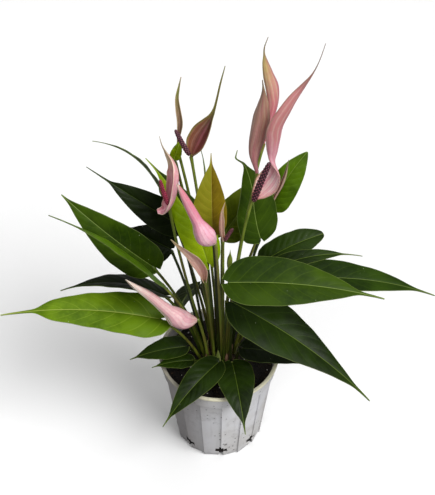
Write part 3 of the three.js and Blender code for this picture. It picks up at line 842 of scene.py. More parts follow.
# ---- Soil ----
@dataclass
class SoilBed:
    """Peat mix with crumbs, perlite grains and bark bits lying on it."""

    top: float = 107.0
    bottom: float = 2.9
    low_radius: float = 42.5
    high_radius: float = 54.0
    dome: float = 2.0
    rings: int = 56
    around: int = 160
    crumbs: int = 1500
    perlite: int = 46
    bark: int = 110
    seed: int = 11

    def surface_z(self, x: float, y: float) -> float:
        """Return the height of the soil's surface at a place."""
        r = math.hypot(x, y)
        fall = self.dome * min(1.0, r / self.high_radius) ** 2
        coarse = noise.noise(Vector((x * 0.09, y * 0.09, 2.0)))
        mid = noise.noise(Vector((x * 0.32, y * 0.32, 5.0)))
        fine = noise.noise(Vector((x * 0.9, y * 0.9, 9.0)))
        return self.top - fall + 0.8 * coarse + 0.75 * mid + 0.4 * fine - 0.6

    def bed(self, finish: bpy.types.Material) -> bpy.types.Object:
        """Build the body of soil."""
        angle = np.linspace(0, 2 * math.pi, self.around + 1)
        rows = []
        for r, z in ((0.0, self.bottom), (self.low_radius, self.bottom)):
            rows.append(np.column_stack([r * np.cos(angle), r * np.sin(angle), np.full(len(angle), z)]))
        for k in range(self.rings):
            r = self.high_radius * (1 - k / (self.rings - 1))
            ring = [[r * math.cos(a), r * math.sin(a),
                     self.surface_z(r * math.cos(a), r * math.sin(a))] for a in angle[:-1]]
            rows.append(np.array([*ring, ring[0]]))
        piece = Workshop.weld(Workshop.skin("soil_bed", np.array(rows)))
        Workshop.dress(piece, finish, 70)
        return settle(piece, "soil", "soil")

    def strewn(self, name: str, count: int, size: tuple[float, float], long: float,
               finish: bpy.types.Material,
               draw: np.random.Generator) -> bpy.types.Object:
        """Strew small bits over the soil.

        Args:
            name: Name of the piece.
            count: Number of bits.
            size: Least and greatest radius.
            long: Greatest stretch of a bit.
            finish: Their material.
            draw: Random draws.

        Returns:
            The bits as one piece.
        """
        points, faces = Workshop.pebble()
        shapes = []
        for _ in range(count):
            r = (self.high_radius - 2.0) * math.sqrt(draw.uniform(0.02, 1.0))
            a = draw.uniform(0, 2 * math.pi)
            x, y = r * math.cos(a), r * math.sin(a)
            radius = draw.uniform(*size)
            bit = points * (1 + draw.uniform(-0.28, 0.28, (len(points), 1)))
            bit = bit * np.array([draw.uniform(1.0, long), draw.uniform(0.6, 1.0), draw.uniform(0.45, 0.9)])
            turn = draw.uniform(0, 2 * math.pi)
            tilt = draw.uniform(-0.5, 0.5)
            flat = np.array([[math.cos(turn), -math.sin(turn), 0], [math.sin(turn), math.cos(turn), 0],
                             [0, 0, 1]])
            lean = np.array([[math.cos(tilt), 0, math.sin(tilt)], [0, 1, 0],
                             [-math.sin(tilt), 0, math.cos(tilt)]])
            bit = bit @ lean.T @ flat.T * radius
            bit = bit + np.array([x, y, self.surface_z(x, y) + radius * 0.3])
            shapes.append((bit, faces))
        return settle(Workshop.many(name, shapes, finish), "soil")

    def build(self) -> list[bpy.types.Object]:
        """Build and dress the soil and what lies on it."""
        draw = np.random.default_rng(self.seed)
        peat = EarthFinish("peat", "#0b0806", "#241a12")
        crumb = EarthFinish("peat_crumbs", "#0d0907", "#33261b")
        white = EarthFinish("perlite", "#c9c6bc", "#efeee8", 0.8, 500.0)
        brown = EarthFinish("bark_bits", "#3a2818", "#7a5c3c", 0.85, 300.0)
        return [
            self.bed(peat.make()),
            self.strewn("soil_crumbs", self.crumbs, (0.35, 1.25), 1.5, crumb.make(), draw),
            self.strewn("soil_perlite", self.perlite, (0.5, 1.3), 1.3, white.make(), draw),
            self.strewn("soil_bark", self.bark, (0.3, 0.8), 3.4, brown.make(), draw),
        ]


# ---- Leaves ----
class LeafTone(Enum):
    """Finish of a leaf's upper side."""

    DARK = LeafFinish("leaf_dark", "#101c02", "#243804", vein="#34480a", rib="#64782c", margin="#78883c")
    OLIVE = LeafFinish("leaf_olive", "#1e3202", "#3a5204", vein="#4c640e", rib="#84984c")
    DUSKY = LeafFinish("leaf_dusky", "#162802", "#2c4404", vein="#40560c", rib="#74883c")
    KHAKI = LeafFinish("leaf_khaki", "#4a5a04", "#6c7c0a", vein="#889824", margin="#a0a84c")
    DEEP = LeafFinish("leaf_deep", "#0a1202", "#162204", vein="#22300a", rib="#3c4e1c", margin="#46562a")
    MID = LeafFinish("leaf_mid", "#365004", "#567808", vein="#789820", margin="#98a84c")
    BRIGHT = LeafFinish("leaf_bright", "#466208", "#749418", vein="#94ac38", rib="#acb858", margin="#a8b85c",
                        painted_base_shade=0.8)
    LIME = LeafFinish("leaf_lime", "#5c7802", "#8aa408", vein="#a0b82c", rib="#b4c848", margin="#a8b848")
    # Split leaf: a lime body, its own colour brightened with painted light shining through it, and a dark
    # half of painted shade.
    SPLIT = LeafFinish("leaf_split", "#7c9c04", "#a0bc10", vein="#b4cc3c", rib="#b4c850", margin="#b0c050",
                       half="#142c0c", half_from=0.36, half_first=True, painted_base_shade=0.1)
    BRONZE = LeafFinish("leaf_bronze", "#645208", "#8a7a12", vein="#a89030", rib="#a89848", margin="#94843c",
                        half="#7c7c18", half_from=0.0, half_first=False)


LEAF_STATIONS = (0.0, 0.03, 0.08, 0.18, 0.32, 0.5, 0.68, 0.84, 1.0)
LEAF_SHARES = (0.12, 0.5, 0.8, 0.98, 1.0, 0.86, 0.63, 0.36, 0.07)
BLUNT_SHARES = (0.12, 0.5, 0.8, 0.96, 1.0, 0.94, 0.78, 0.5, 0.08)
SLIM_SHARES = (0.12, 0.5, 0.82, 1.0, 1.0, 0.8, 0.5, 0.26, 0.06)


@dataclass
class Leaf:
    """One leaf: a blade that bows along its midrib, and its petiole."""

    ident: str
    root: tuple[float, float]
    base: Point
    tip: Point
    face: Point
    wide: float
    arch: float = 6.0
    sway: float = 0.0
    fold: float = 0.3
    curl: float = 0.2
    lobe: float = 0.06
    drip: float = 0.12
    tone: LeafTone = LeafTone.DARK
    left: float = 1.0
    right: float = 1.0
    wave: float = 0.5
    petiole: float = 1.4
    bend: float = 0.35
    shares: Values = LEAF_SHARES
    via: tuple[Point, ...] = ()
    veins: int = 9
    thick: float = 0.7
    rows: int = 64
    half_columns: int = 14

    def midrib(self, normal: np.ndarray, side: np.ndarray, t: np.ndarray) -> np.ndarray:
        """Return the midrib's points at shares t of the length."""
        base, tip = np.array(self.base), np.array(self.tip)
        if self.via:
            return at_share(spline([self.base, *self.via, self.tip]), t)
        mid = (base + tip) / 2 + normal * 2 * self.arch + side * 2 * self.sway
        t = t[:, None]
        return base * (1 - t) ** 2 + 2 * mid * t * (1 - t) + tip * t**2

    def blade(self, rim: bpy.types.Material, under: bpy.types.Material,
              upper: bpy.types.Material) -> bpy.types.Object:
        """Build the blade with its midrib groove, quilted veins and waved margin."""
        base, tip = np.array(self.base), np.array(self.tip)
        way = tip - base
        length = np.linalg.norm(way)
        way = way / length
        normal = np.array(self.face, float)
        normal = unit(normal - way * normal.dot(way))
        side = np.cross(way, normal)
        u = np.linspace(0, 1, self.rows)
        t = 0.5 * u + 0.5 * (0.5 - 0.5 * np.cos(math.pi * u))
        line = self.midrib(normal, side, t)
        stations = [s * (1 - self.drip) for s in LEAF_STATIONS] + [1.0]
        share = smooth_values(tuple(stations), (*self.shares, 0.02), t)
        c = np.linspace(-1, 1, 2 * self.half_columns + 1)
        s = c * (0.5 + 0.5 * np.abs(c))
        a = np.abs(s)[None, :]
        scale = np.where(s < 0, self.left, self.right)[None, :]
        half = (self.wide / 2 * share)[:, None] * scale
        back = (self.lobe * length * np.clip(1 - t / 0.45, 0, 1) ** 2)[:, None]
        phase = self.veins * (t[:, None] - 0.2 * a**1.2)
        seed = sum(map(ord, self.ident))
        ripple = np.sin(2 * math.pi * (t[:, None] * 3.1 + seed * 0.37) + s[None, :] * 1.6)
        ripple = ripple + 0.5 * np.sin(2 * math.pi * (t[:, None] * 6.3 + seed * 0.71) - s[None, :] * 2.0)
        fade = np.clip(share / max(share), 0, 1)[:, None]
        lift = half * (self.fold * a - self.curl * a**2)
        lift = lift + self.wave * ripple * a**2 * fade
        quilt = fade * np.clip(a * 3, 0, 1) * np.clip((1 - a) * 4, 0, 1)
        lift = lift + 0.22 * np.cos(2 * math.pi * phase) * quilt
        lift = lift - 0.5 * np.exp(-((a * half / 0.9) ** 2)) * fade
        points = line[:, None, :] - side * (s[None, :] * half)[..., None]
        points = points + normal * lift[..., None] - way * (back * a**1.3)[..., None]
        marks = {
            "rib": a * half,
            "edge": np.minimum((1 - a) * half, ((1 - t) * length)[:, None] * 0.3 + 0.2),
            "phase": phase + 40,
        }
        piece = Workshop.skin(f"leaf_{self.ident}_blade", points, marks)
        return Workshop.thicken(piece, self.thick, [under, upper, rim])

    def stalk(self, finish: bpy.types.Material) -> bpy.types.Object:
        """Build the petiole, swollen a little where it meets the blade."""
        path = stem_path(self.root, np.array(self.base, float), self.bend)
        u = np.linspace(0, 1, len(path))
        radii = self.petiole * (1.25 - 0.3 * np.clip(u * 3, 0, 1))
        radii = radii * (1 + 0.35 * np.exp(-(((u - 0.97) / 0.03) ** 2)))
        radii[-1] *= 0.4
        return Workshop.stem(f"leaf_{self.ident}_petiole", path, radii, finish)


LEAVES = (
    Leaf("01", (-8, 14), (-55, 50, 294), (-115, 72, 331), (-3, 5, 6), 18, 10, lobe=0.03, tone=LeafTone.MID),
    Leaf("02", (-14, 11), (-38, 37, 259), (-119, 46, 323), (-1, -6, 6), 30, 6, lobe=0.1, drip=0.22,
         tone=LeafTone.DEEP),
    Leaf("03", (-15, 3), (-63, 12, 230), (-139, 16, 317), (0, -8, 5), 40, 8, lobe=0.08, drip=0.06,
         tone=LeafTone.OLIVE),
    Leaf("04", (-15, -3), (-53, -22, 243), (-142, -35, 341), (5, 5, 7), 40, 6, fold=0.05, curl=0.1, drip=0.2,
         tone=LeafTone.MID),
    Leaf("05", (-17, 10), (-46, 34, 230), (-90, 46, 249), (0, -7, 7), 36, 5, tone=LeafTone.DEEP),
    Leaf("06", (-19, 2), (-51, 0, 201), (-146, -15, 225), (0, 4, 9), 40, 11, tone=LeafTone.DEEP),
    Leaf("07", (-19, -8), (-57, -20, 191), (-203, -25, 202), (0, -2, 10), 46, 14, fold=0.2, lobe=0.1,
         drip=0.2,
         tone=LeafTone.BRIGHT, wave=1.2, shares=(0.12, 0.5, 0.84, 1.0, 0.98, 0.8, 0.66, 0.48, 0.08)),
    Leaf("08", (-20, -5), (-34, -8, 135), (-88, -14, 122), (0, -1, 10), 26, 4, lobe=0.1),
    Leaf("09", (-2, -16), (-1, -24, 130), (-54, -80, 102), (0, -3, 10), 29, 12),
    Leaf("10", (11, -17), (13, -20, 124), (25, -90, 104), (0, -3, 10), 36, 12, lobe=0.05),
    Leaf("11", (11, -12), (13, -20, 214), (142, -72, 133), (2, -2, 10), 56, 12, fold=0.25, lobe=0.05,
         shares=SLIM_SHARES, right=0.9),
    Leaf("12", (4, -13), (9, -26, 248), (149, -34, 235), (0, -2, 10), 52, 10, lobe=0.05, drip=0.15,
         tone=LeafTone.OLIVE),
    Leaf("13", (17, 4), (63, 15, 207), (207, 10, 190), (0, 0, 10), 42, 12, tone=LeafTone.DUSKY),
    Leaf("14", (18, -5), (24, -6, 130), (100, -28, 128), (0, 0, 10), 34, 6, tone=LeafTone.DEEP),
    Leaf("15", (12, 16), (42, 46, 199), (102, 66, 218), (0, -3, 10), 29, 6, tone=LeafTone.DARK, drip=0.01,
         shares=(0.12, 0.5, 0.8, 0.96, 1.0, 0.98, 0.9, 0.66, 0.2)),
    Leaf("16", (6, 19), (50, 64, 256), (82, 84, 308), (-1, -8, 3), 31, 4, sway=-3, drip=0.01,
         tone=LeafTone.MID,
         shares=BLUNT_SHARES, right=0.85),
    Leaf("17", (13, 8), (38, 25, 254), (16, 49, 340), (4, -8, 3), 44, fold=0.2, drip=0.2, right=0.85,
         via=((35, 28, 266), (32, 33, 283), (30, 38, 302), (26, 43, 317), (22, 45, 327), (17.5, 44, 332),
              (14.5, 44, 335.5)), tone=LeafTone.OLIVE),
    Leaf("18", (2, 11), (3, 32, 249), (45, 70, 295), (0, -8, 3), 38, 0, fold=0.1, drip=0.05,
         tone=LeafTone.KHAKI),
    Leaf("19", (15, 1), (46, 15, 221), (136, 30, 224), (0, -2, 10), 19, 13, lobe=0.05, drip=0.2),
    Leaf("20", (0, -3), (-6, -5, 296), (-7, 22, 360), (0, -8, 3), 26, 4, lobe=0.1, tone=LeafTone.BRONZE,
         right=1.3,
         fold=0.45),
    Leaf("21", (-17, -14), (-27, -19, 127), (-66, -24, 122), (0, 0, 10), 18, 3, fold=0.2, lobe=0.1),
    Leaf("22", (-1, 17), (-15, 36, 292), (-16, 46, 342), (-8, 0, 2), 12, -3, tone=LeafTone.BRONZE),
    Leaf("23", (-6, 20), (-19, 40, 172), (-45, 55, 98), (0, 4, 8), 30, 8, lobe=0.1, tone=LeafTone.DEEP),
    Leaf("24", (-4, 2), (-11, 0, 248), (-66, 52, 328), (-1, -8, 3), 34, 4, sway=9, fold=0.2, lobe=0.07,
         tone=LeafTone.SPLIT),
    Leaf("25", (-7, 10), (-40, 46, 333), (-33, 49, 355), (0, -8, 3), 10, 1, fold=0.2, curl=0.1, lobe=0.1,
         tone=LeafTone.LIME),
)


@dataclass
class Foliage:
    """All the leaves."""

    leaves: tuple[Leaf, ...] = LEAVES

    def build(self) -> list[bpy.types.Object]:
        """Build and dress every blade and petiole."""
        upper = {tone: tone.value.make() for tone in LeafTone}
        under = UndersideFinish().make()
        rim = RimFinish("leaf_rim", "#3c4c14", "#5c6c2c").make()
        greens = [
            StemFinish("petiole_green", "#2c3808", "#4c6014", "#5a4420").make(),
            StemFinish("petiole_olive", "#3c4410", "#707c24", "#6a4c30", 0.5).make(),
            StemFinish("petiole_dark", "#1c2808", "#344410", "#4c3420").make(),
        ]
        made = []
        for leaf in self.leaves:
            young = leaf.tone in (LeafTone.BRONZE, LeafTone.LIME)
            slot = "young_leaf" if young else "leaf"
            made.append(settle(leaf.blade(rim, under, upper[leaf.tone]), slot, f"leaf_{leaf.ident}"))
            made.append(settle(leaf.stalk(greens[int(leaf.ident) % 3]), "stalk"))
        return made


# ---- Flowers ----
class SpatheTone(Enum):
    """Finish of a spathe, outside then inside."""

    BLUSH = (
        SpatheFinish("spathe_blush", ((0.0, "#e09080"), (0.1, "#eab8b8"), (0.3, "#dc9ca8"),
                                      (0.45, "#b88078"),
                                      (0.66, "#c4847c"), (0.78,
                                                          "#8c6458"), (0.84, "#3c3c34"), (1.0, "#34342e")),
                     margin="#8c7a5c", flank="#e490a2", flank_share=0.75),
        SpatheFinish("spathe_blush_inside",
                     ((0.0, "#dc8468"), (0.07, "#f0c4bc"), (0.2, "#fae2e0"), (0.3, "#e4a8ac"),
                                             (1.0, "#c08078")),
                     margin="#b8a460", margin_share=0.85, margin_wide=3.0, vein="#e0809c", vein_share=0.5,
                     stripe_share=0.35),
    )
    LEMON = (
        SpatheFinish("spathe_lemon", ((0.0, "#c8606c"), (0.25, "#c86c74"), (0.42, "#c88478"),
                                      (0.55, "#c8a47c"),
                                      (0.68, "#c8c068"), (0.78,
                                                          "#98a040"), (0.84, "#4c5030"), (1.0, "#34382c")),
                     margin="#8c8c4c", flank="#a85868", flank_share=0.85, vein_share=0.35),
        SpatheFinish("spathe_lemon_inside", ((0.0, "#c87078"), (0.6, "#c09c70"), (1.0, "#5c6430"))),
    )
    MAUVE = (
        SpatheFinish("spathe_mauve", ((0.0, "#e08c98"), (0.15, "#d49090"), (0.35, "#bc8a7c"),
                                      (0.55, "#ac846c"),
                                      (0.78, "#9c8060"), (0.9, "#646a38"), (1.0, "#34402a")),
                     margin="#a89c74", margin_share=0.4, vein="#a0606c", vein_share=0.4, pale_share=0.08,
                     flank="#c4b0a0", flank_share=0.5, flank_right=False),
        SpatheFinish("spathe_mauve_inside", ((0.0, "#b86070"), (0.5, "#a87060"), (1.0, "#5c6430"))),
    )
    PINK = (
        SpatheFinish("spathe_pink", ((0.0, "#e8a8b4"), (0.25, "#eca8b8"), (0.5, "#e08c9c"),
                                     (0.68, "#d89c90"),
                                     (0.8, "#b4a470"), (0.9, "#6c6c44"), (1.0, "#34342c")),
                     margin="#e4d0b0", flank="#f0c0c0", flank_share=0.5, flank_right=False),
        SpatheFinish("spathe_pink_inside",
                     ((0.0, "#e8a4b0"), (0.5, "#e09ca8"), (0.72, "#e0d0a8"), (1.0, "#6c6c4c"))),
    )
    ROSE = (
        SpatheFinish("spathe_rose", ((0.0, "#ecccc0"), (0.1, "#ecb4c0"), (0.3, "#eeb4c4"), (0.5, "#e894a8"),
                                     (0.85, "#d88490"), (1.0, "#b89080")),
                     margin="#f0e0c8", margin_wide=2.4, margin_share=0.7, stripe="#dc5880", stripe_share=0.6,
                     stripe_width=0.22, flank="#f4c8cc", flank_share=0.5),
        SpatheFinish("spathe_rose_inside", ((0.0, "#e8b0b0"), (0.5, "#e08c98"), (1.0, "#c08880"))),
    )
    SHELL = (
        SpatheFinish("spathe_shell", ((0.0, "#e8c0b0"), (0.15, "#eab8bc"), (0.35, "#e8bcbc"),
                                      (0.6, "#e8c0b8"),
                                      (0.8, "#f4e4d4"), (1.0, "#f0e0c8")),
                     margin="#f0e4d0", margin_wide=2.2, margin_share=0.7, stripe_share=0.3, vein="#d07890",
                     vein_share=0.3),
        SpatheFinish("spathe_shell_inside", ((0.0, "#e0b0a8"), (0.5, "#dca09c"), (1.0, "#c8a890"))),
    )
    DUSK = (
        SpatheFinish("spathe_dusk", ((0.0, "#a07850"), (0.3, "#8c5444"), (0.5, "#6c7030"), (1.0, "#6c8030")),
                     margin="#8a8440", vein="#7c3c38"),
        SpatheFinish("spathe_dusk_inside", ((0.0, "#9c6c48"), (0.12, "#8c4c40"), (0.3, "#70342e"),
                                            (0.42, "#5c4428"), (0.52, "#6c7c24"), (0.8, "#98ac44"),
                                            (0.93, "#64703c"), (1.0, "#484c34")),
                     margin="#7c7834", margin_share=0.85, margin_wide=2.6, vein="#54202a", vein_share=0.4,
                     pale_share=0.05, flank="#94683c", flank_share=0.6),
    )
    OLIVE = (
        SpatheFinish("spathe_olive", ((0.0, "#6c6a26"), (0.4, "#80683c"), (0.7, "#7c7040"),
                                      (1.0, "#5c6c2c"))),
        SpatheFinish("spathe_olive_inside",
                     ((0.0, "#5c5420"), (0.25, "#74543c"), (0.45, "#948058"), (0.6, "#94884c"),
                                             (0.75, "#8c9c3c"), (0.9, "#4c5c2c"), (1.0, "#343c28")),
                     stripe_share=0.1, vein="#5c4030", vein_share=0.4, margin="#5c6c34", margin_wide=1.0),
    )
    PEACH = (
        SpatheFinish("spathe_peach", ((0.0, "#c89890"), (0.4, "#dcb0a0"), (0.8, "#cca890"),
                                      (1.0, "#9c8c60")),
                     stripe_share=0.15),
        SpatheFinish("spathe_peach_inside",
                     ((0.0, "#b08868"), (0.3, "#d0a498"), (0.6, "#d4b0a0"), (0.85, "#b8a070"),
                                             (1.0, "#6c6844")),
                     stripe_share=0.15, vein="#a86c60", margin="#c8b888"),
    )


@dataclass(frozen=True)
class SpatheTurn:
    """Where along a spathe its opening swings round to a second way, as shares of its length."""

    face: Point
    start: float
    end: float


@dataclass
class Flower:
    """One flower: a spathe wrapped about its line, its stalk and, where it shows, its spadix.

    Each row of the profile gives a share of the length, half the width round the spathe in
    millimetres, and how far each half wraps, in degrees.
    """

    ident: str
    root: tuple[float, float]
    bend: float
    face: Point
    seat: float
    line: tuple[Point, ...]
    profile: tuple[tuple[float, float, float], ...]
    tone: SpatheTone = SpatheTone.PINK
    spadix: tuple[Point, Point] | None = None
    spadix_radius: float = 2.4
    left: float = 1.0
    right: float = 1.0
    turn: SpatheTurn | None = None
    joint: Point | None = None
    thick: float = 0.45
    rows: int = 72
    columns: int = 33
    stalk_radius: float = 1.4

    def spathe(self, outer: bpy.types.Material, inner: bpy.types.Material) -> bpy.types.Object:
        """Build the spathe."""
        curve = spline(list(self.line))
        way = tangents(curve)
        u = np.linspace(0, 1, self.rows)
        t = 0.6 * u + 0.4 * (0.5 - 0.5 * np.cos(math.pi * u))
        centre = at_share(curve, t)
        heading = at_share(way, t)
        shares, girths, wraps = zip(*self.profile)
        girth = smooth_values(shares, girths, t)
        wrap = np.radians(smooth_values(shares, wraps, t))
        s = np.linspace(-1, 1, self.columns)
        reach = np.where(s < 0, self.left, self.right) * s
        rows, edge = [], []
        face = unit(np.array(self.face, float))
        swing, gain = np.zeros(3), t * 0
        if self.turn:
            swing = unit(np.array(self.turn.face, float)) - face
            gain = np.clip((t - self.turn.start) / (self.turn.end - self.turn.start), 0, 1)
        for k in range(self.rows):
            ahead = unit(heading[k])
            out = face + swing * gain[k]
            out = unit(out - ahead * out.dot(ahead))
            side = np.cross(ahead, out)
            r = girth[k] / wrap[k]
            middle = centre[k] + out * self.seat * r
            angle = wrap[k] * reach
            ripple = 0.25 * np.sin(7 * s + 9 * t[k]) * np.abs(s) ** 2 * min(1.0, girth[k] / 8)
            ring = middle - np.outer(np.cos(angle) * r + ripple, out) - np.outer(np.sin(angle) * r, side)
            rows.append(ring)
            edge.append((1 - np.abs(s)) * girth[k])
        piece = Workshop.skin(f"flower_{self.ident}_spathe_skin", np.array(rows), {"edge": np.array(edge)})
        return Workshop.thicken(piece, self.thick, [outer, inner, outer])

    def stalk(self, finish: bpy.types.Material) -> bpy.types.Object:
        """Build the stalk up into the spathe's foot."""
        curve = spline(list(self.line))
        base = np.array(self.joint or self.line[0], float)
        heading = np.array([0.0, 0.0, 1.0]) if self.joint else tangents(curve)[0]
        end = base - 1.5 * heading
        path = np.vstack([stem_path(self.root, end, self.bend), base + 1.0 * heading])
        u = np.linspace(0, 1, len(path))
        radii = self.stalk_radius * (1.2 - 0.25 * np.clip(u * 3, 0, 1))
        radii = radii * (1 + 0.3 * np.exp(-(((u - 0.98) / 0.03) ** 2)))
        return Workshop.stem(f"flower_{self.ident}_stem", path, radii, finish)

    def spike(self, finish: bpy.types.Material) -> bpy.types.Object:
        """Build the spadix, beaded with florets in crossing spirals."""
        base, tip = (np.array(point, float) for point in self.spadix)
        sides, count = 40, 70
        u = np.linspace(0, 1, count)
        length = np.linalg.norm(tip - base)
        path = base + (tip - base) * u[:, None]
        bow = unit(np.cross(tip - base, np.array([0.2, 1.0, 0.1])))
        path = path + np.outer(np.sin(math.pi * u) * length * 0.015, bow)
        radii = self.spadix_radius * smooth_values((0, 0.06, 0.2, 0.6, 0.9, 0.97, 1),
                                                   (0.6, 0.85, 1, 0.95, 0.72, 0.5, 0.1), u)
        rings = Workshop.hose(path, radii, sides)
        angle = np.linspace(0, 2 * math.pi, sides + 1)
        turns = 6
        steps = length / self.spadix_radius * 0.85
        grid_u = np.concatenate([[0], u, [1]])[:, None]
        a = turns * angle[None, :] + 2 * math.pi * steps * grid_u
        b = turns * angle[None, :] - 2 * math.pi * steps * grid_u
        bead = (0.5 + 0.5 * np.cos(a)) * (0.5 + 0.5 * np.cos(b))
        bead = np.sqrt(bead)
        axis = np.vstack([path[:1], path, path[-1:]])[:, None, :]
        rings = axis + (rings - axis) * (1 + 0.3 * (bead - 0.5))[..., None]
        piece = Workshop.skin(f"flower_{self.ident}_spike", rings, {"bead": bead})
        Workshop.weld(piece)
        Workshop.dress(piece, finish, 80)
        return piece


FLOWERS = (
    Flower("1", (8, -5), 0.1, (-3, -9, 3), 1.0,
           ((30, 9, 319), (40, 16, 330), (47.5, 20, 343), (48, 22, 355), (49.5, 25, 369), (52, 29, 382),
            (58, 33, 394),
            (63.5, 37, 404), (70.5, 41, 415), (77, 43, 427), (82, 44.5, 440), (86, 46, 456)),
           ((0.0, 4, 110), (0.05, 11, 85), (0.12, 15, 74), (0.18, 13.5, 80), (0.245, 5.5, 100),
            (0.33, 9, 90),
            (0.43, 11.5, 80), (0.54, 10, 80), (0.65, 7, 80), (0.74, 3.6,
                                                              75), (0.81, 1.2, 70), (0.86, 0.6, 60),
            (1.0, 0.25, 60)),
           SpatheTone.BLUSH, ((30, 4, 321), (43, 7, 363)), 3.0, left=1.05, right=0.72,
           turn=SpatheTurn((-7, 9, 3), 0.2, 0.3)),
    Flower("2", (8, 7), 0.2, (-3, 8, 0), 1.0,
           ((40, 64, 334), (45, 70, 351), (49, 77, 367), (48.5, 83, 379), (44, 89, 391), (40, 93, 405),
            (39, 95, 416), (42, 96.5, 427)),
           ((0.0, 3.5, 150), (0.12, 5, 130), (0.25, 7, 100), (0.38, 8, 85), (0.5, 9, 78), (0.62, 7, 75),
            (0.75, 3.6, 70), (0.84, 0.9, 60), (1.0, 0.25, 60)),
           SpatheTone.LEMON, left=0.85, right=1.2),
    Flower("3", (9, 1), 0.2, (3, 8, 0), 1.0,
           ((33, 27, 331), (29, 30, 349), (31.5, 34, 368), (34.5, 39, 384), (36.5, 43, 396), (37, 46, 407),
            (36, 48, 418)),
           ((0.0, 3, 150), (0.1, 5, 130), (0.22, 8.5, 105), (0.4, 10.6, 88), (0.58, 10.6, 80),
            (0.72, 7.4, 78),
            (0.85, 2.6, 70), (0.93, 0.8, 60), (1.0, 0.25, 60)),
           SpatheTone.MAUVE),
    Flower("4", (-12, 7), 0.75, (-8, -3, 3), 1.0,
           ((-55, 15, 296), (-47, 17, 297), (-40, 20, 308), (-36.5, 23, 325), (-36.5, 27, 335),
            (-40, 31, 343),
            (-46, 35, 350), (-49.5, 38, 355), (-52, 42, 362)),
           ((0.0, 3.5, 90), (0.07, 7, 90), (0.18, 10, 100), (0.3, 10.5, 105), (0.45, 11.5, 100),
            (0.57, 11.5, 95),
            (0.68, 7.5, 85), (0.78, 4, 80), (0.86, 1.4, 70), (1.0, 0.25, 60)),
           SpatheTone.PINK, ((-45.5, 15, 306), (-51.5, 16, 335)), 2.0, joint=(-44, 16, 298.5)),
    Flower("5", (3, -8), 0.35, (-4, -4, -9), 0.2,
           ((-4, -24, 297), (-13, -23, 311), (-25, -18, 336), (-35, -12, 355)),
           ((0.0, 6, 160), (0.08, 20, 172), (0.17, 27, 174), (0.28, 23, 175), (0.42, 14, 175),
            (0.6, 12, 175),
            (0.8, 9, 170), (1.0, 2, 150)), SpatheTone.ROSE),
    Flower("6", (-4, 8), 0.35, (-6, -8, 5), 0.9,
           ((-24, 38, 343), (-19, 41, 354), (-14, 45, 364), (-9, 49, 372), (-5, 52, 380), (-2, 56, 391),
            (1, 61, 404), (5, 66, 419)),
           ((0.0, 3.5, 130), (0.07, 9, 95), (0.16, 12, 72), (0.27, 11, 66), (0.38, 7, 66), (0.47, 3.2, 70),
            (0.58, 1.3, 60), (0.8, 0.9, 60), (1.0, 0.25, 60)),
           SpatheTone.DUSK, ((-26, 35.5, 346), (-38, 40, 371)), 2.2, left=1.15),
    Flower("7", (-4, 13), 0.35, (2, -8, 3), 0.8,
           ((-37, 54, 339), (-36, 58, 350), (-35, 62, 361), (-36.5, 67, 373), (-37, 70, 382), (-35, 73, 392),
            (-33, 76, 400)),
           ((0.0, 2, 140), (0.15, 2.8, 120), (0.35, 4.4, 105), (0.5, 3.9, 100), (0.65, 2.7, 90),
            (0.78, 1.7, 80),
            (0.9, 0.7, 60), (1.0, 0.25, 60)), SpatheTone.OLIVE),
    Flower("8", (-5, -7), 0.35, (0, -8, 3), 0.8,
           ((-13, -14, 237), (-15, -14, 252), (-21, -15, 266), (-28, -17, 277), (-36, -19, 288),
            (-42, -21, 298)),
           ((0.0, 3.5, 140), (0.12, 6, 115), (0.24, 7.5, 100), (0.43, 7.5, 90), (0.62, 4.4, 85),
            (0.82, 2, 70),
            (0.93, 0.8, 60), (1.0, 0.25, 60)), SpatheTone.PEACH),
    Flower("9", (-11, -10), 0.35, (2, -3, -9), 0.2,
           ((-21, -22, 192), (-29, -23, 194), (-38, -24, 200), (-47, -27, 213), (-56, -30, 228),
            (-64, -33, 241),
            (-74, -37, 255), (-82, -40, 267)),
           ((0.0, 5, 160), (0.05, 17, 170), (0.12, 27, 174), (0.2, 28, 175), (0.34, 18, 175), (0.5, 14, 175),
            (0.69, 11, 170), (0.86, 6, 150), (0.96, 2, 120), (1.0, 0.5, 90)), SpatheTone.SHELL),
    Flower("10", (4, 0), 0.35, (8, -5, 3), 0.8,
           ((3, -12, 288), (1, -12, 300), (1, -11, 311), (2, -10, 321), (5, -8, 330)),
           ((0.0, 3, 140), (0.2, 4.4, 115), (0.45, 4.6, 105), (0.7, 3, 95), (0.88, 1.2, 80),
            (1.0, 0.25, 60)),
           SpatheTone.PEACH, ((5, -13, 289), (12, -11, 302)), 1.7),
    Flower("11", (13, 12), 0.35, (-8, -2, 3), 0.8,
           ((50, 47, 279), (54, 49, 288), (58, 51, 296), (61, 54, 306), (62, 57, 313), (63, 60, 319)),
           ((0.0, 2, 140), (0.2, 3, 120), (0.5, 3.6, 110), (0.75, 2.4, 90), (0.92, 0.8, 60),
            (1.0, 0.25, 60)),
           SpatheTone.MAUVE),
)


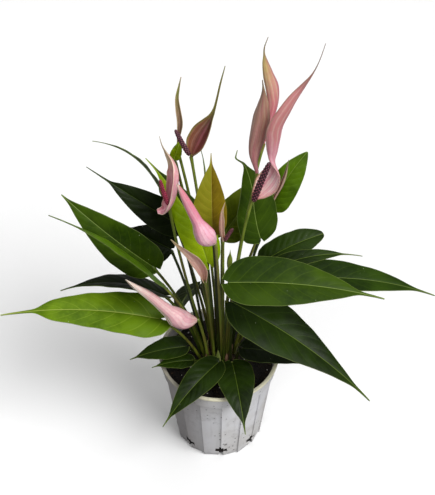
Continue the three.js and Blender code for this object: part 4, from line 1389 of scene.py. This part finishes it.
@dataclass
class Bouquet:
    """All the flowers."""

    flowers: tuple[Flower, ...] = FLOWERS
    bud_root: tuple[float, float] = (7, -9)
    bud_tip: Point = (10, -6, 270)

    def build(self) -> list[bpy.types.Object]:
        """Build and dress every spathe, stalk and spadix."""
        skins = {tone: [finish.make() for finish in tone.value] for tone in SpatheTone}
        green = StemFinish("stalk_green", "#5a6a1c", "#7a8a30", "#8a6a40", 0.5).make()
        # Each spadix finish: its dark tone is painted shade between the florets, its light tone a painted
        # highlight on them.
        maroon = SpadixFinish("spadix_maroon", "#14040a", "#a4566a").make()
        scarlet = SpadixFinish("spadix_scarlet", "#5c0820", "#e8587c").make()
        made = []
        for flower in self.flowers:
            name = f"flower_{flower.ident}"
            outer, inner = skins[flower.tone]
            made.append(settle(flower.spathe(outer, inner), "spathe", f"{name}_spathe"))
            made.append(settle(flower.stalk(green), "stalk", f"{name}_stalk"))
            if flower.spadix:
                ripe = scarlet if flower.tone is SpatheTone.PINK else maroon
                made.append(settle(flower.spike(ripe), "spadix", f"{name}_spadix"))
        made.append(settle(self.bud(green), "stalk"))
        return made

    def bud(self, finish: bpy.types.Material) -> bpy.types.Object:
        """Build the slim closed bud that stands among the stems on its own stalk."""
        path = stem_path(self.bud_root, np.array(self.bud_tip), 0.4, 60)
        u = np.linspace(0, 1, len(path))
        radii = 1.1 + 1.5 * np.exp(-(((u - 0.88) / 0.07) ** 2))
        radii = radii * np.clip((1 - u) / 0.08, 0.12, 1)
        return Workshop.stem("bud", path, radii, finish)


# ---- Crown ----
@dataclass
class Crown:
    """The stump the stems rise from, with papery sheaths about the stems' feet."""

    radius: float = 21.0
    low: float = 106.0
    high: float = 115.5
    sheaths: int = 12
    seed: int = 5

    def stump(self, finish: bpy.types.Material) -> bpy.types.Object:
        """Build the knobbly stump."""
        angle = np.linspace(0, 2 * math.pi, 73)
        rows = []
        for r, z in ((0.0, self.low), (0.9, self.low), (1.0, self.low + 2), (0.95, self.low + 5),
                     (0.86, self.low + 7),
                     (0.7, self.high - 1.2), (0.45, self.high - 0.4), (0.2, self.high), (0.0, self.high)):
            ring = []
            for a in angle[:-1]:
                x, y = math.cos(a), math.sin(a)
                knob = 1 + 0.1 * noise.noise(Vector((x * 3, y * 3, z * 0.2))) - 0.05
                ring.append([x * r * self.radius * knob, y * r * self.radius * knob, z])
            rows.append([*ring, ring[0]])
        piece = Workshop.weld(Workshop.skin("crown_stump", np.array(rows)))
        Workshop.dress(piece, finish, 60)
        return settle(piece, "crown", "crown")

    def sheath(self, name: str, foot: tuple[float, float], lean: tuple[float, float], tall: float,
               girth: float,
               finish: bpy.types.Material) -> bpy.types.Object:
        """Build one pointed sheath that half wraps a stem.

        Args:
            name: Name of the piece.
            foot: Where it stands, in millimetres.
            lean: How far its tip leans over.
            tall: Its height.
            girth: Half the width of the flattened sheet.
            finish: Its material.

        Returns:
            The sheath.
        """
        x, y = foot
        line = [(x, y, self.high - 5), (x + lean[0] * 0.35, y + lean[1] * 0.35, self.high + tall * 0.45),
                (x + lean[0], y + lean[1], self.high + tall)]
        curve = spline(line, 60)
        t = np.linspace(0, 1, 28)
        centre = at_share(curve, t)
        heading = at_share(tangents(curve), t)
        width = girth * smooth_values((0, 0.15, 0.5, 0.8, 1), (1, 1, 0.8, 0.42, 0.04), t)
        out = -np.array([x, y, 0.0]) / max(1e-6, math.hypot(x, y))
        s = np.linspace(-1, 1, 13)
        rows, edge = [], []
        for k in range(len(t)):
            facing = unit(out - unit(heading[k]) * out.dot(unit(heading[k])))
            side = np.cross(unit(heading[k]), facing)
            turn = math.radians(100 - 40 * t[k])
            r = width[k] / turn
            rows.append(centre[k] - np.outer(np.cos(turn * s) * r,
                                             facing) - np.outer(np.sin(turn * s) * r, side))
            edge.append((1 - np.abs(s)) * width[k])
        piece = Workshop.skin(name, np.array(rows), {"edge": np.array(edge)})
        Workshop.thicken(piece, 0.4, [finish, finish, finish])
        return settle(piece, "crown")

    def build(self) -> list[bpy.types.Object]:
        """Build and dress the stump and its sheaths."""
        draw = np.random.default_rng(self.seed)
        brown = EarthFinish("stump_bark", "#2c2014", "#5a4630", 0.85, 220.0)
        papery = StemFinish("sheath_papery", "#6a4a34", "#a8846a", "#c89a90", 0.7)
        fresh = StemFinish("sheath_fresh", "#7a8a40", "#a4ac6c", "#b88a80", 0.4)
        dry, green = papery.make(), fresh.make()
        made = [self.stump(brown.make())]
        for k in range(self.sheaths):
            a = 2 * math.pi * k / self.sheaths + draw.uniform(-0.2, 0.2)
            r = draw.uniform(6, 17)
            foot = (r * math.cos(a), r * math.sin(a))
            lean = (foot[0] * draw.uniform(0.1, 0.5), foot[1] * draw.uniform(0.1, 0.5))
            finish = green if k % 3 == 0 else dry
            made.append(self.sheath(f"crown_sheath_{k + 1}", foot, lean, draw.uniform(12, 34),
                                    draw.uniform(3, 5), finish))
        return made


# ---- Studio ----
@dataclass
class Studio:
    """Pale floor, soft lights and the camera."""

    eye: Point = (-0.0015, -0.6923, 0.9786)
    aim: Point = (-0.0015, 0.0, 0.2667)
    lens: float = 80.0
    sensor: float = 36.0

    def floor(self) -> None:
        """Lay the floor."""
        bpy.ops.object.select_all(action="DESELECT")
        bpy.ops.mesh.primitive_plane_add(size=8, location=(0, 0, -0.0005))
        ground = bpy.context.active_object
        ground.name = "studio_floor"
        ground.data.materials.append(FloorFinish().make())

    def lamp(self, name: str, place: Point, aim: Point, size: float, power: float,
             colour: Point = (1, 1, 1)) -> None:
        """Hang one soft lamp.

        Args:
            name: Its name.
            place: Where it hangs.
            aim: Where it points.
            size: Side of its square face.
            power: Its power in watts.
            colour: Its colour.
        """
        bpy.ops.object.select_all(action="DESELECT")
        turn = (Vector(aim) - Vector(place)).to_track_quat("-Z", "Y").to_euler()
        bpy.ops.object.light_add(type="AREA", location=place, rotation=turn)
        lamp = bpy.context.active_object
        lamp.name = name
        lamp.data.shape = "SQUARE"
        lamp.data.size = size
        lamp.data.energy = power
        lamp.data.color = colour

    def sun(self, name: str, place: Point, strength: float, spread: float) -> None:
        """Hang one far, wide, soft light.

        Args:
            name: Its name.
            place: The side it shines from.
            strength: Its strength.
            spread: How wide it looks, in degrees.
        """
        bpy.ops.object.select_all(action="DESELECT")
        turn = (-Vector(place)).to_track_quat("-Z", "Y").to_euler()
        bpy.ops.object.light_add(type="SUN", location=place, rotation=turn)
        light = bpy.context.active_object
        light.name = name
        light.data.energy = strength
        light.data.angle = math.radians(spread)

    def camera(self) -> None:
        """Set up the camera."""
        turn = (Vector(self.aim) - Vector(self.eye)).to_track_quat("-Z", "Y").to_euler()
        bpy.ops.object.camera_add(location=self.eye, rotation=turn)
        eye = bpy.context.active_object
        eye.data.lens = self.lens
        eye.data.sensor_width = self.sensor
        eye.data.sensor_fit = "AUTO"
        bpy.context.scene.camera = eye

    def build(self) -> None:
        """Build the floor, lights, sky and camera."""
        bpy.context.scene.view_settings.view_transform = "Standard"
        self.floor()
        self.sun("key_light", (1.0, -0.7, 1.3), 2.9, 40.0)
        self.lamp("fill_light", (-0.35, -0.9, 1.2), (0, 0, 0.4), 0.7, 4.2)
        self.lamp("top_light", (0.1, 0.5, 1.8), (0, 0, 0.2), 1.2, 6)
        sky = bpy.data.worlds.new("studio_sky")
        sky.use_nodes = True
        sky.node_tree.nodes["Background"].inputs["Color"].default_value = (1, 1, 1, 1)
        sky.node_tree.nodes["Background"].inputs["Strength"].default_value = 0.2
        bpy.context.scene.world = sky
        self.camera()


def report(title: str, made: list[bpy.types.Object]) -> None:
    """Log the pieces of one sub-assembly."""
    for piece in made:
        LOG.info("%s: %s, %d faces", title, piece.name, len(piece.data.polygons))


def main() -> None:
    """Build the plant in its pot, and the studio about it."""
    logging.basicConfig(level=logging.INFO, format="%(name)s %(message)s")
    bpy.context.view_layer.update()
    report("pot", [Pot().build()])
    report("soil", SoilBed().build())
    report("crown", Crown().build())
    report("foliage", Foliage().build())
    report("bouquet", Bouquet().build())
    Studio().build()


if __name__ == "__main__":
    main()
